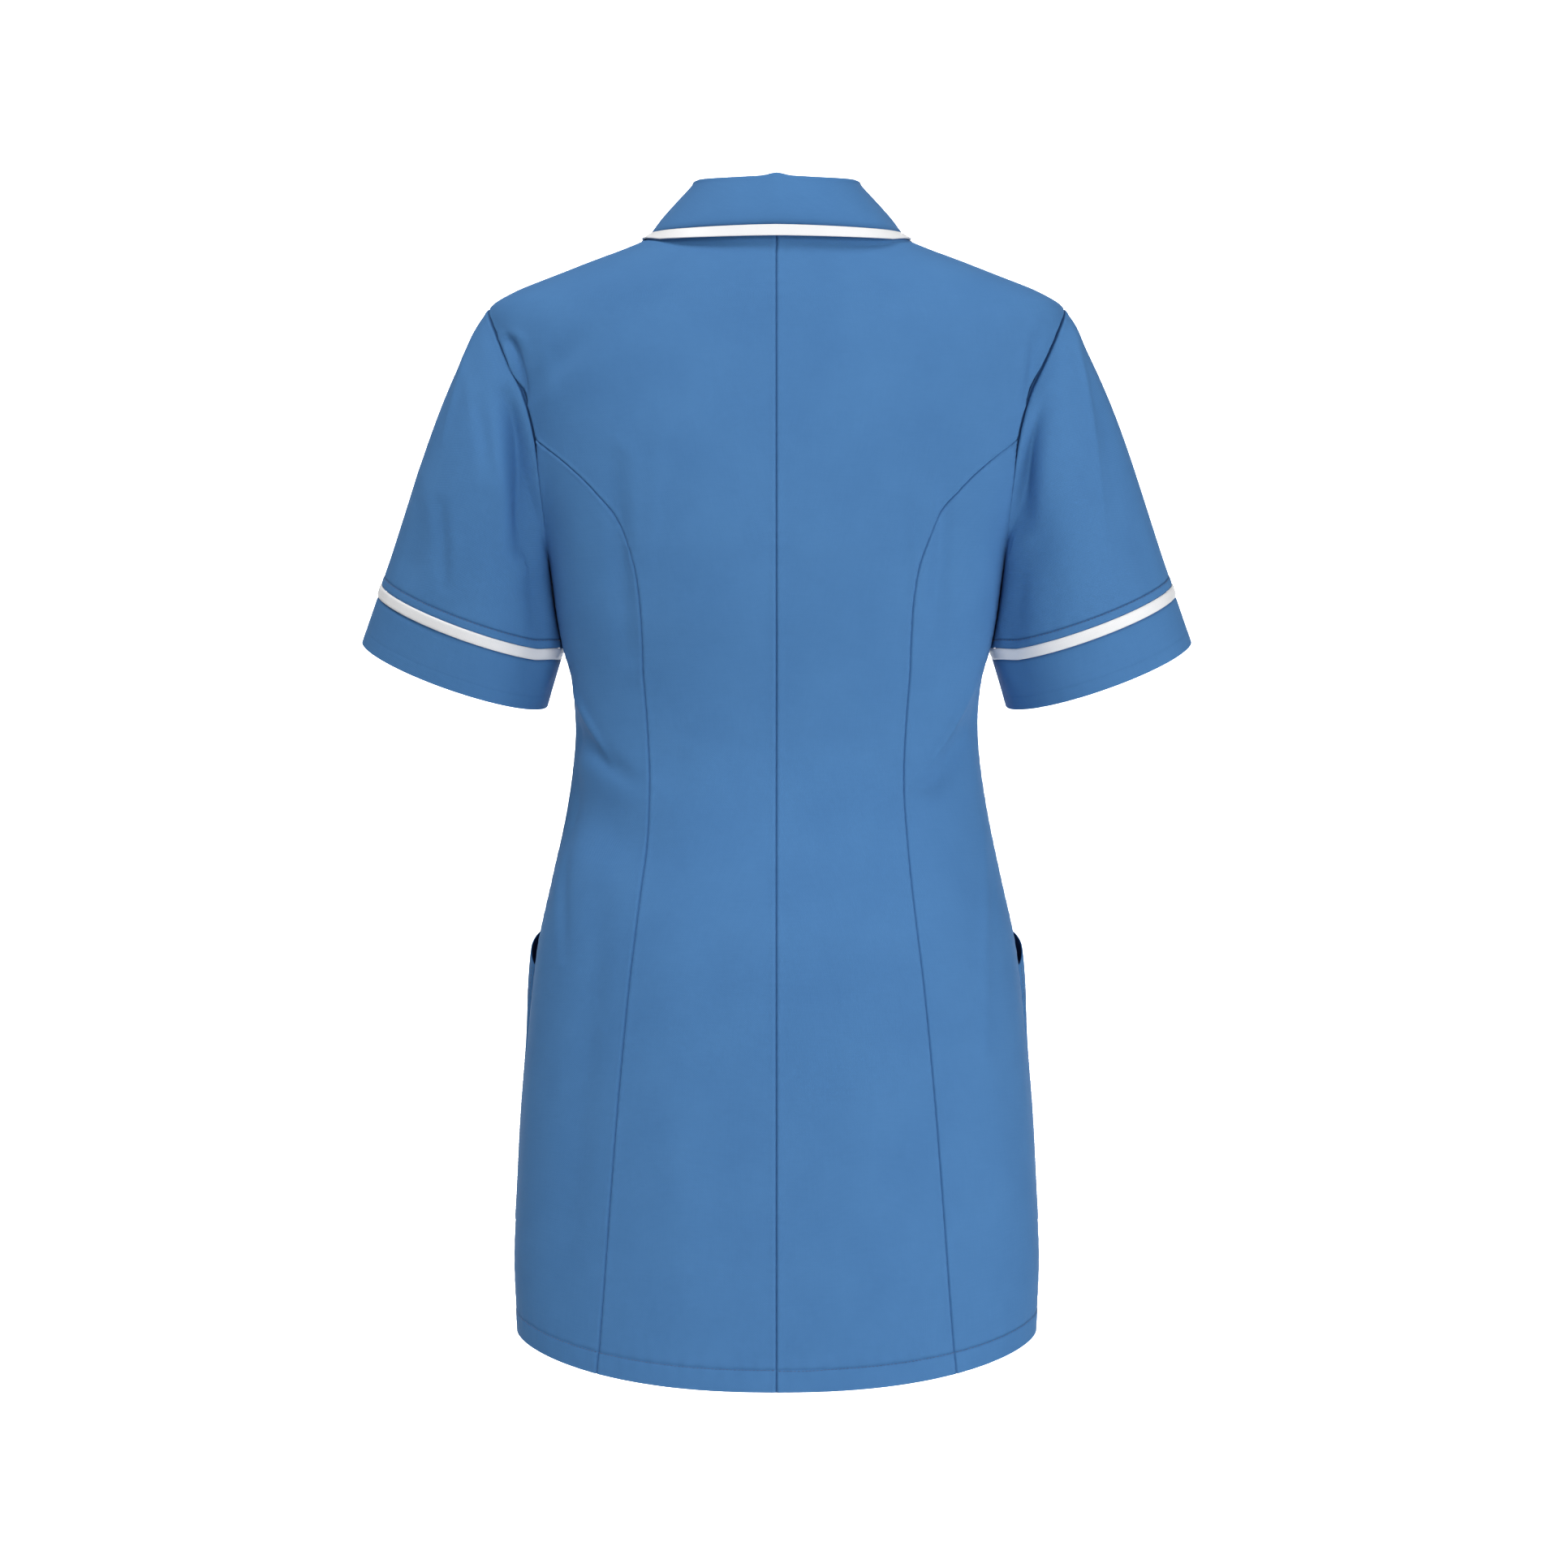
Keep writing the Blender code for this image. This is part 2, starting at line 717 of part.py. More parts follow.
def collar_profile(section, with_trim):
    seam, fold, edge = section
    outward = edge - seam
    outward.z = 0
    outward.normalize()
    stand_top = fold - outward * COLLAR_FOLD_HALF
    leaf_top = fold + outward * COLLAR_FOLD_HALF
    drop = Vector((0, 0, -COLLAR_FOLD_DROP))
    leaf = edge - leaf_top - drop
    trim_share = COLLAR_TRIM / leaf.length
    if with_trim:
        shares = [1 - trim_share + SEAM_GAP / leaf.length, 1.0]
        lower = []
    else:
        shares = spaced(0.0, 1 - trim_share, COLLAR_LEAF_ROWS)[1:]
        lower = [seam, seam.lerp(stand_top + drop, 0.5), stand_top + drop, fold, leaf_top + drop]
    points = lower + [leaf_top + drop + leaf * share for share in shares]
    count = len(lower)
    return points[:count] + [kept_clear(point) for point in points[count:]]


def build_collar():
    # The wearer's left half from the centre back, then mirrored to the right as one strip
    for name, with_trim, thickness, material in (
        ("collar", False, WALL, cloth),
        ("collar_trim", True, TRIM_WALL, trim),
    ):
        half = [collar_profile(section, with_trim) for section in collar_sections()]
        mirrored = [[Vector((-point.x, point.y, point.z)) for point in row] for row in half[1:]]
        rows = [[point * MM for point in row] for row in mirrored[::-1] + half]
        mesh = grid_mesh(name, rows)
        strip = link_object(name, mesh, material)
        add_wall(strip, thickness)


# Pockets

def pocket_mouth(share):
    rise = 1 - (1 - share) ** POCKET_MOUTH_TURN
    return POCKET_MOUTH_SIDE + (POCKET_MOUTH_INNER - POCKET_MOUTH_SIDE) * rise


def pocket_gape(share, up):
    across = math.sin(math.pi * share**POCKET_GAPE_LEAN)
    return POCKET_GAPE * across * smooth_step(POCKET_GAPE_START, 1.0, up)


def build_pocket(side):
    # Made from the front panel's points, moved out, and gaping at the mouth
    rows = []
    for step in range(POCKET_ROWS + 1):
        up = step / POCKET_ROWS
        row = []
        for i in range(POCKET_CELLS + 1):
            share = (i / POCKET_CELLS) ** POCKET_SPACING
            height = POCKET_BOTTOM + (pocket_mouth(share) - POCKET_BOTTOM) * up
            start = math.radians(POCKET_SIDE_ANGLE)
            end = angle_at_width(POCKET_INNER, height, False)
            angle = start + (end - start) * share
            inner = math.sin(math.pi * share) * math.sin(math.pi * min(up, 0.5))
            out = POCKET_EDGE + inner + pocket_gape(share, up)
            row.append(cloth_point(angle, height, out, side))
        rows.append(row)
    name = "pocket_" + side_name(side)
    mesh = grid_mesh(name, rows, flip=side > 0)
    pocket = link_object(name, mesh, cloth)
    add_wall(pocket, WALL)


# Buttons

def build_button(number, height):
    # A turned, dished disc on the overlapping front, its face towards the front
    angle = -math.pi / 2
    seat = cloth_point(angle, height, OVERLAP_LIFT + SEAM_GAP)
    above = cloth_point(angle, height + BUTTON_LEAN_REACH, 0)
    up = above - cloth_point(angle, height - BUTTON_LEAN_REACH, 0)
    normal = Vector((0, -up.z, up.y)).normalized()
    radius = BUTTON_RADIUS * MM
    thick = BUTTON_THICKNESS * MM
    turned = bmesh.new()
    points = [turned.verts.new((radius * x, 0, thick * z)) for x, z in BUTTON_PROFILE]
    for first, second in zip(points, points[1:]):
        turned.edges.new((first, second))
    name = "button_" + str(number)
    mesh = bpy.data.meshes.new(name)
    turned.to_mesh(mesh)
    turned.free()
    button = link_object(name, mesh, plastic)
    screw = button.modifiers.new("turn", "SCREW")
    screw.steps = BUTTON_SIDES
    screw.render_steps = BUTTON_SIDES
    screw.use_merge_vertices = True
    screw.merge_threshold = 0.00005
    button.location = seat
    button.rotation_mode = "QUATERNION"
    button.rotation_quaternion = Vector((0, 0, 1)).rotation_difference(normal)


def clear_scene():
    for thing in list(bpy.data.objects):
        bpy.data.objects.remove(thing, do_unlink=True)


clear_scene()
garment = bpy.data.collections.new("medical_tunic")
bpy.context.scene.collection.children.link(garment)
frame = bpy.data.objects.new("tunic_frame", None)
garment.objects.link(frame)

cloth = make_material("blue_cloth", CLOTH_BLUE, 0.82)
trim = make_material("white_trim", TRIM_WHITE, 0.5)
plastic = make_material("white_button", BUTTON_WHITE, 0.35)

for wearer_side in (1, -1):
    build_back(wearer_side)
    build_side_back(wearer_side)
    build_front(wearer_side)
    build_sleeve(wearer_side)
    build_pocket(wearer_side)
build_collar()
for button_number, button_height in enumerate(BUTTON_HEIGHTS, 1):
    build_button(button_number, button_height)
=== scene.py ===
import math

import bpy
import numpy as np
from mathutils import Matrix, Vector
from mathutils.bvhtree import BVHTree


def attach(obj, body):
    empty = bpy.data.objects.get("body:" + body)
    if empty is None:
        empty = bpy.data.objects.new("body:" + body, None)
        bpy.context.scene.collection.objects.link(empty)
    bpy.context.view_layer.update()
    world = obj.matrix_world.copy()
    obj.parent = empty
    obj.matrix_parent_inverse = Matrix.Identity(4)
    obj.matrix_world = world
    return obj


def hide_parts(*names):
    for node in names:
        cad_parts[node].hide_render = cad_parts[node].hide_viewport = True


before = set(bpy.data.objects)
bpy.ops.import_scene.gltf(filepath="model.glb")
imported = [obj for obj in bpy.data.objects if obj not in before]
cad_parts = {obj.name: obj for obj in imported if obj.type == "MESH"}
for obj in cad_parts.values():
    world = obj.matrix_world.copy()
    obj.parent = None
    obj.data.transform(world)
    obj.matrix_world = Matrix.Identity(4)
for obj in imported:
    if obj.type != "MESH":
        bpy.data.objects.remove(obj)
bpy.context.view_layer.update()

# Medical tunic seen from behind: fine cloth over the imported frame, with its seams, trims, stitches and buttons.
# Shapes are worked out in millimetres, the wearer's left is +X and the back is +Y.
mm = 0.001


# small maths

def hermite(start, leave, end, arrive, t):
    return (start * (2 * t**3 - 3 * t**2 + 1) + leave * (t**3 - 2 * t**2 + t)
            + end * (3 * t**2 - 2 * t**3) + arrive * (t**3 - t**2))


def smoothStep(low, high, value):
    t = np.clip((value - low) / (high - low), 0.0, 1.0)
    return t * t * (3 - 2 * t)


def bell(value):
    return np.exp(-value**2)


def softLine(size, distance):
    # how high or dark it is at these distances from a line, size being its most and its width
    return size[0] * bell(distance / size[1])


def throughTable(keys, values, key):
    # a smooth cubic through the rows of a table, level past its ends
    keys = np.array(keys, float)
    values = np.array(values, float)
    if keys[0] > keys[-1]:
        keys, values = keys[::-1], values[::-1]
    last = len(keys) - 1
    order = np.arange(last + 1)
    before = np.maximum(order - 1, 0)
    after = np.minimum(order + 1, last)
    slopes = (values[after] - values[before]) / (keys[after] - keys[before])
    key = np.clip(key, keys[0], keys[-1])
    low = np.clip(np.searchsorted(keys, key, side="right") - 1, 0, last - 1)
    span = keys[low + 1] - keys[low]
    t = (key - keys[low]) / span
    return hermite(values[low], slopes[low] * span, values[low + 1], slopes[low + 1] * span, t)


def unit(vectors):
    return vectors / np.linalg.norm(vectors, axis=-1, keepdims=True)


def xyz(x, y, z):
    return np.stack(np.broadcast_arrays(x, y, z), axis=-1).astype(float)


def normalOf(pointAt, u, v, uStep, vStep):
    alongU = pointAt(u + uStep, v) - pointAt(u - uStep, v)
    alongV = pointAt(u, v + vStep) - pointAt(u, v - vStep)
    return unit(np.cross(alongU, alongV))


def cumulative(points):
    # distance along each row of points
    steps = np.linalg.norm(np.diff(points, axis=1), axis=2)
    return np.concatenate([np.zeros((len(points), 1)), np.cumsum(steps, axis=1)], axis=1)


def alongPath(path):
    return cumulative(path[None])[0]


spread = {"samples": 90, "edgeShare": 0.7}


def spreadAlong(pointAt, lows, highs, lowEdge, highEdge, cells):
    # parameters at true distances between two limits, closer together beside both edges
    share = np.linspace(0, 1, spread["samples"])
    params = lows[:, None] + (highs - lows)[:, None] * share
    arc = cumulative(pointAt(params))
    length = arc[:, -1]
    squeeze = np.minimum(1.0, spread["edgeShare"] * length / (lowEdge[-1] + highEdge[-1]))[:, None]
    low = np.array(lowEdge) * squeeze
    high = length[:, None] - np.array(highEdge)[::-1] * squeeze
    inner = low[:, -1:] + (high[:, :1] - low[:, -1:]) * np.linspace(0, 1, cells + 1)[1:-1]
    distances = np.concatenate([low, inner, high], axis=1)
    rows = zip(distances, arc, params)
    return np.array([np.interp(d, a, p) for d, a, p in rows]), distances, length


# the torso's form: rings of cloth down the figure

torsoForm = {
    "ringPower": 2.3, "neckHeight": 10, "hemHeight": -711,
    "hemDrop": 30, "hemDropReach": 160, "hemCornerPower": 1.7, "normalSteps": (0.004, 0.8),
    "shoulderSoftness": 16, "shoulderSoftTurn": 0.7,
    "bustRise": 9, "bustAngle": -52, "bustHeight": -228, "bustTurnSpread": 17, "bustHeightSpread": 48,
    # height, half width, depth to the back, depth to the front
    "rings": (
        (10, 62, 58, 26), (0, 89, 63, 38), (-10, 117, 67, 49), (-21, 145.5, 71, 60), (-32, 173, 75, 69),
        (-42, 188, 78, 76), (-60, 190.5, 82, 86), (-80, 188, 86, 95), (-100, 181, 89, 102),
        (-125, 174, 92, 109), (-160, 164.5, 94, 117), (-188, 155, 94.5, 121), (-207, 149.5, 94, 123),
        (-245, 144, 91, 124), (-265, 140, 88, 120), (-285, 134.5, 85, 114), (-310, 132.2, 82, 107),
        (-335, 132.8, 81, 102), (-373, 138.3, 86, 99), (-415, 147, 97, 100), (-451, 155, 106, 102),
        (-480, 159.2, 110.5, 104), (-522, 163.4, 113.5, 106), (-565, 167.2, 114, 107),
        (-618, 170, 113, 108), (-665, 172, 112, 108), (-711, 170, 111, 107),
    ),
}


def ringSizes(height):
    heights, widths, backs, fronts = zip(*torsoForm["rings"])
    return tuple(throughTable(heights, sizes, height) for sizes in (widths, backs, fronts))


def ringRadius(angle, height):
    halfWidth, back, front = ringSizes(height)
    depth = np.where(np.sin(angle) > 0, back, front)
    above = ringSizes(height + torsoForm["shoulderSoftness"])[0]
    below = ringSizes(height - torsoForm["shoulderSoftness"])[0]
    softened = smoothStep(0.0, torsoForm["shoulderSoftTurn"], abs(np.sin(angle))) / 2
    halfWidth = halfWidth + softened * (above + below - 2 * halfWidth)
    power = torsoForm["ringPower"]
    return (abs(np.cos(angle) / halfWidth)**power + abs(np.sin(angle) / depth)**power)**(-1 / power)


def angleAtWidth(x, height, behind):
    halfWidth, back, front = ringSizes(height)
    power = torsoForm["ringPower"]
    rest = (1 - np.minimum(abs(x) / halfWidth, 1.0)**power)**(1 / power)
    return np.arctan2(back * rest if behind else -front * rest, x)


def angleAtDepth(y, height):
    halfWidth, back, front = ringSizes(height)
    depth = np.where(y > 0, back, front)
    power = torsoForm["ringPower"]
    return np.arctan2(y, halfWidth * (1 - np.minimum(abs(y) / depth, 1.0)**power)**(1 / power))


def torsoPoint(angle, height):
    # angle 0 is the side seam, a quarter turn the centre back, height is before the hem's curve
    form = torsoForm
    degrees = np.degrees(angle)
    around = (bell((degrees - form["bustAngle"]) / form["bustTurnSpread"])
              + bell((-180 - degrees - form["bustAngle"]) / form["bustTurnSpread"]))
    raised = bell((height - form["bustHeight"]) / form["bustHeightSpread"])
    radius = ringRadius(angle, height) + form["bustRise"] * around * raised
    hem = form["hemHeight"]
    back, front = ringSizes(hem)[1:]
    depth = np.where(np.sin(angle) > 0, back, front)
    reach = abs(ringRadius(angle, hem) * np.sin(angle)) / depth
    fade = 1 - smoothStep(0, form["hemDropReach"], height - hem)
    drop = form["hemDrop"] * reach**form["hemCornerPower"] * fade
    return xyz(radius * np.cos(angle), radius * np.sin(angle), height - drop)


def torsoNormal(angle, height):
    return normalOf(torsoPoint, angle, height, *torsoForm["normalSteps"])


# soft folds and creases, drawn as seen from straight behind, or from in front for the hidden side

foldLook = {
    "eyeDistance": 3500.0, "eyeHeight": -354.0, "steps": 20, "strength": 1.5, "reach": 3.2, "ridgeAt": 1.7,
    "endFade": 0.12, "turnFade": (-0.05, 0.25),
}

# from x and z, through x and z, to x and z, half breadth at both ends, rise (in, if negative),
# and for a fold with a ridge beside it that ridge's height and side
backFolds = (
    (176, -62, 169.5, -70, 165, -101, 2.6, 2, -3.2, 1.8, 1),
    (175, -58, 168, -57, 165, -68, 2.6, 3.2, 0.9),
    (-172, -60, -168, -78, -166, -100, 4, 4, -1.6, 1.2, 1),
    (118, -54, 138, -72, 160, -94, 8, 7, -1.3, 0.5, -1),
    (152, -74, 146, -92, 150, -118, 6, 6, 0.8),
    (106, -142, 105, -200, 99, -268, 6.5, 7.5, -2.4, 0.7, -1),
    (76, -124, 84, -170, 83, -220, 5, 5, 0.5),
    (-112, -150, -110, -205, -103, -268, 6, 7, -2.3, 0.7, 1),
    (-90, -130, -91, -180, -90, -228, 3, 3, 0.5),
    (132, -150, 134, -190, 128, -236, 10, 9, 1),
    (-136, -170, -138, -200, -130, -240, 10, 9, 0.7),
    (156, -134, 160, -170, 152, -222, 5, 5, 1.5),
    (-156, -134, -160, -170, -152, -222, 5, 5, 1.2),
    (135, -288, 126, -313, 110, -340, 1.8, 2.2, 1.5),
    (142, -306, 127, -334, 94, -352, 7, 7, -2.4),
    (146, -350, 126, -382, 88, -392, 27, 24, -5.4),
    (-138, -296, -124, -332, -98, -358, 8, 8, -3.2, 0, -1),
    (-130, -290, -112, -328, -90, -350, 2.4, 2.4, 1.6),
    (-126, -340, -112, -356, -94, -370, 10, 9, -1.1, 0.3, 1),
    (139, -388, 141, -420, 139, -468, 3.2, 3, -0.9, 0.4, 1),
    (-136, -386, -138, -450, -136, -538, 2.4, 4.5, 1),
    (-138, -520, -143, -570, -150, -640, 6, 12, 0.9),
    (116, -430, 126, -540, 142, -692, 9, 13, -2),
    (60, -330, 68, -346, 78, -358, 13, 13, -1),
    (-52, -324, -64, -342, -76, -362, 13, 13, -0.9),
    (24, -8, 70, -22, 120, -32, 9, 9, 0.6),
    (-30, -10, -64, -22, -104, -28, 9, 8, 0.5),
    (70, -560, 64, -610, 58, -690, 18, 15, 0.7),
    (-60, -540, -56, -610, -66, -690, 18, 15, 0.6),
    (38, -420, 46, -480, 40, -540, 16, 16, -0.6),
    (-30, -430, -40, -500, -34, -560, 16, 14, -0.6),
)
backSleeveFolds = (
    (196, -52, 208, -84, 219, -130, 2, 2, 1),
    (206, -72, 202, -100, 197, -134, 3, 3, 0.45),
    (222, -172, 220, -196, 219, -224, 5, 4, -1.7, 0.6, -1),
    (232, -150, 226, -178, 221, -204, 6, 5, 0.8),
    (173, -100, 168, -140, 163, -198, 8, 8, -8, 1.4, 1),
    (196, -104, 192, -128, 188, -150, 5, 5, -0.8, 0.3, 1),
    (160, -206, 158, -232, 150, -262, 7, 7, -1.3, 0.4, 1),
    (-193, -52, -209, -96, -217, -212, 2, 2, 1),
    (-203, -70, -222, -130, -226, -214, 5, 5, -0.9),
    (-168, -104, -164, -138, -159, -184, 8, 7, -6, 0.8, -1),
    (-160, -206, -157, -234, -152, -262, 8, 8, -0.9, 0.3, -1),
    (-186, -86, -190, -120, -188, -160, 5, 7, 0.8),
)
frontFolds = (
    (176, -62, 170, -82, 164, -112, 4, 5, -1.6, 0.8, -1),
    (-176, -58, -171, -80, -166, -104, 4, 5, -1.9, 0.9, 1),
    (136, -236, 118, -232, 96, -226, 8, 7, -1.6, 0.5, 1),
    (-138, -240, -116, -238, -94, -228, 7, 8, -1.5, 0.5, 1),
    (134, -300, 112, -330, 84, -344, 9, 8, -1.8, 0.7, 1),
    (-134, -292, -116, -326, -86, -348, 9, 8, -2, 0.7, -1),
    (60, -120, 66, -160, 62, -200, 9, 10, -0.8),
    (-58, -126, -66, -160, -64, -196, 9, 10, -0.9),
    (46, -560, 42, -620, 48, -690, 14, 12, 0.9),
    (-44, -540, -40, -620, -46, -690, 14, 12, 0.8),
)
frontSleeveFolds = (
    (212, -70, 204, -104, 200, -160, 3, 3, 0.8),
    (178, -110, 170, -146, 164, -190, 8, 8, -2.6, 1, 1),
    (228, -170, 224, -196, 222, -224, 4, 3, -1.8, 0.8, 1),
    (-180, -112, -172, -148, -166, -192, 8, 8, -2.4, 1, -1),
    (-210, -80, -218, -140, -222, -210, 3, 2.6, 0.8),
)


def foldRise(points, side, table, behind):
    # how far the cloth stands out at these points for every fold in the table
    shape = points.shape[:-1]
    flat = points.reshape(-1, 3)
    facing = flat[:, 1] if behind else -flat[:, 1]
    scale = foldLook["eyeDistance"] / (foldLook["eyeDistance"] - facing)
    x = flat[:, 0] * side * scale
    z = foldLook["eyeHeight"] + (flat[:, 2] - foldLook["eyeHeight"]) * scale
    total = np.zeros(len(flat))
    along = np.linspace(0, 1, foldLook["steps"])
    for x0, z0, x1, z1, x2, z2, breadth0, breadth1, rise, *beside in table:
        ridge, ridgeSide = beside or (0, 1)
        reach = foldLook["reach"] * max(breadth0, breadth1)
        near = ((x > min(x0, x1, x2) - reach) & (x < max(x0, x1, x2) + reach)
                & (z > min(z0, z1, z2) - reach) & (z < max(z0, z1, z2) + reach))
        if not near.any():
            continue
        pathX = (1 - along)**2 * x0 + 2 * along * (1 - along) * x1 + along**2 * x2
        pathZ = (1 - along)**2 * z0 + 2 * along * (1 - along) * z1 + along**2 * z2
        startX, startZ = pathX[:-1], pathZ[:-1]
        runX, runZ = np.diff(pathX), np.diff(pathZ)
        awayX = x[near][:, None] - startX
        awayZ = z[near][:, None] - startZ
        t = np.clip((awayX * runX + awayZ * runZ) / (runX**2 + runZ**2), 0, 1)
        offX = awayX - t * runX
        offZ = awayZ - t * runZ
        distance = np.hypot(offX, offZ)
        nearest = distance.argmin(axis=1)
        pick = np.arange(len(nearest))
        place = (nearest + t[pick, nearest]) / (len(along) - 1)
        turn = np.sign(runX[nearest] * offZ[pick, nearest] - runZ[nearest] * offX[pick, nearest])
        off = distance[pick, nearest]
        breadth = breadth0 + (breadth1 - breadth0) * place
        fade = np.sin(math.pi * (foldLook["endFade"] + (1 - 2 * foldLook["endFade"]) * place))
        beyond = off * turn * ridgeSide - foldLook["ridgeAt"] * breadth
        total[near] += (rise * bell(off / breadth) + ridge * bell(beyond / breadth)) * fade
    return total.reshape(shape)


def clothFolds(points, normals, side, back, front):
    # folds of the back fade out where the cloth turns to face sideways, and so do those of the front
    rise = 0
    for table, behind in ((back, True), (front, False)):
        facing = normals[..., 1] * (1 if behind else -1)
        rise = rise + foldRise(points, side, table, behind) * smoothStep(*foldLook["turnFade"], facing)
    return foldLook["strength"] * rise


# seams and hems pressed into the cloth

seamLook = {
    "depth": 0.85, "width": 0.55, "ridge": 0.25, "ridgeAt": 2.4, "ridgeWidth": 1.4,
    "puckerRise": 0.16, "puckerReach": 5.0, "puckerLength": 8.5, "puckerDrift": 23.0, "puckerSwing": 1.3,
    "edgeSteps": (0.06, 0.35, 0.7, 1.1, 1.6, 2.2, 3.0, 4.2, 6.0, 8.0),
    "under": 6.0, "underSteps": (0, 2.4, 4.2, 5.2, 5.85), "underDepth": 1.15, "underEdge": 0.9,
    "stitchDepth": 0.38, "stitchWidth": 0.8,
    "waveRise": 0.2, "waveReach": 7.0, "waveLength": 11.0, "waveDrift": 31.0, "waveSwing": 1.7,
    "hemStitch": 14.0, "hemStep": 0.35, "hemReach": 60, "hemLine": (0.3, 0.8),
    "lineWidth": 0.65, "tuckFade": 1.4, "edgeRound": (0.35, 0.5),
    "edgeStitch": 5, "edgeStep": 0.15, "edgeLine": (0.45, 0.7), "dartLine": (0.6, 0.8),
}


def uneven(along, length, drift, swing):
    # a wave along a seam whose length drifts, so that it doesn't look regular
    return np.sin(along * 2 * math.pi / length + swing * np.sin(along / drift))


def seamShape(distance, along):
    # past the seam, at distances below 0, the cloth goes on beneath the next piece
    look = seamLook
    tucked = look["depth"] + look["underDepth"] * smoothStep(0, look["underEdge"], -distance)
    shape = np.where(distance < 0, -tucked, -look["depth"] * bell(distance / look["width"])
                     + look["ridge"] * bell((distance - look["ridgeAt"]) / look["ridgeWidth"]))
    pucker = uneven(along, look["puckerLength"], look["puckerDrift"], look["puckerSwing"])
    return shape + look["puckerRise"] * pucker * np.exp(-np.maximum(distance, 0) / look["puckerReach"])


def stitchedShape(distance, along, step):
    # a line of topstitching, with the doubled cloth of the hem standing out on its low side
    look = seamLook
    width = look["stitchWidth"]
    dent = -look["stitchDepth"] * bell(distance / width)
    fold = step * (1 - smoothStep(-width, width, distance))
    wave = uneven(along, look["waveLength"], look["waveDrift"], look["waveSwing"])
    return dent + fold + look["waveRise"] * wave * bell(distance / look["waveReach"])


# meshes and finish

def placed(name, data):
    piece = bpy.data.objects.new(name, data)
    bpy.context.scene.collection.objects.link(piece)
    return piece


def meshPiece(name, points, faces, material):
    mesh = bpy.data.meshes.new(name)
    mesh.from_pydata(points, [], faces)
    mesh.materials.append(material)
    mesh.shade_smooth()
    return placed(name, mesh)


def sheetMesh(name, points, normals, uv, seam, material, closed=False):
    # one layer of cloth from a grid of points, its faces turned to the side the normals point to
    rows, columns = points.shape[:2]
    last = columns if closed else columns - 1
    r, c = np.meshgrid(np.arange(rows - 1), np.arange(last), indexing="ij")
    after = (c + 1) % columns
    faces = np.stack([r * columns + c, r * columns + after, (r + 1) * columns + after, (r + 1) * columns + c], -1)
    corners = [(r, c), (r, c + 1), (r + 1, c + 1), (r + 1, c)]
    uvs = np.stack([uv[a, b] for a, b in corners], axis=2)
    middle, side = rows // 2, last // 2
    across = points[middle, side + 1] - points[middle, side]
    up = points[middle + 1, side] - points[middle, side]
    if np.dot(np.cross(across, up), normals[middle, side]) < 0:
        faces = faces[..., ::-1]
        uvs = uvs[:, :, ::-1]
    piece = meshPiece(name, (points * mm).reshape(-1, 3).tolist(), faces.reshape(-1, 4).tolist(), material)
    layer = piece.data.uv_layers.new(name="cloth")
    layer.uv.foreach_set("vector", uvs.reshape(-1).astype(np.float32))
    # the seam values are a painted-shade mask: how far seams, stitch lines and edges are darkened in the colour
    paintedShadeMask = piece.data.attributes.new("seam", "FLOAT", "POINT")
    paintedShadeMask.data.foreach_set("value", np.broadcast_to(seam, (rows, columns)).reshape(-1).astype(np.float32))
    return piece


def onlySelect(*pieces):
    bpy.ops.object.select_all(action="DESELECT")
    for piece in pieces:
        piece.select_set(True)
    bpy.context.view_layer.objects.active = pieces[0]


def giveThickness(piece, thickness, reverse=None):
    onlySelect(piece)
    wall = piece.modifiers.new("cloth", "SOLIDIFY")
    wall.thickness = thickness * mm
    wall.offset = -1.0
    wall.use_rim = True
    # the inner face can take another finish, the pockets' painted shadow
    if reverse:
        piece.data.materials.append(reverse)
        wall.material_offset = 1
    bpy.ops.object.modifier_apply(modifier=wall.name)


def sideName(side):
    return "left" if side > 0 else "right"


def mirrored(vectors, side):
    return vectors * np.array([side, 1.0, 1.0])


def finishedSheet(name, side, points, normals, uv, seam, thickness, material, closed=False, reverse=None):
    piece = sheetMesh(name, mirrored(points, side), mirrored(normals, side), uv, seam, material, closed)
    giveThickness(piece, thickness, reverse)
    return piece


# shader nodes

class Wire:
    # a node's output that makes Math nodes when it is added, subtracted or multiplied by a number
    def __init__(self, tree, socket):
        self.tree = tree
        self.socket = socket

    def maths(self, operation, first, second):
        node = self.tree.nodes.new("ShaderNodeMath")
        node.operation = operation
        for place, value in enumerate((first, second)):
            if isinstance(value, Wire):
                self.tree.links.new(value.socket, node.inputs[place])
            else:
                node.inputs[place].default_value = value
        return Wire(self.tree, node.outputs[0])

    def __add__(self, other):
        return self.maths("ADD", self, other)

    def __radd__(self, other):
        return self.maths("ADD", other, self)

    def __sub__(self, other):
        return self.maths("SUBTRACT", self, other)

    def __rsub__(self, other):
        return self.maths("SUBTRACT", other, self)

    def __rmul__(self, other):
        return self.maths("MULTIPLY", other, self)


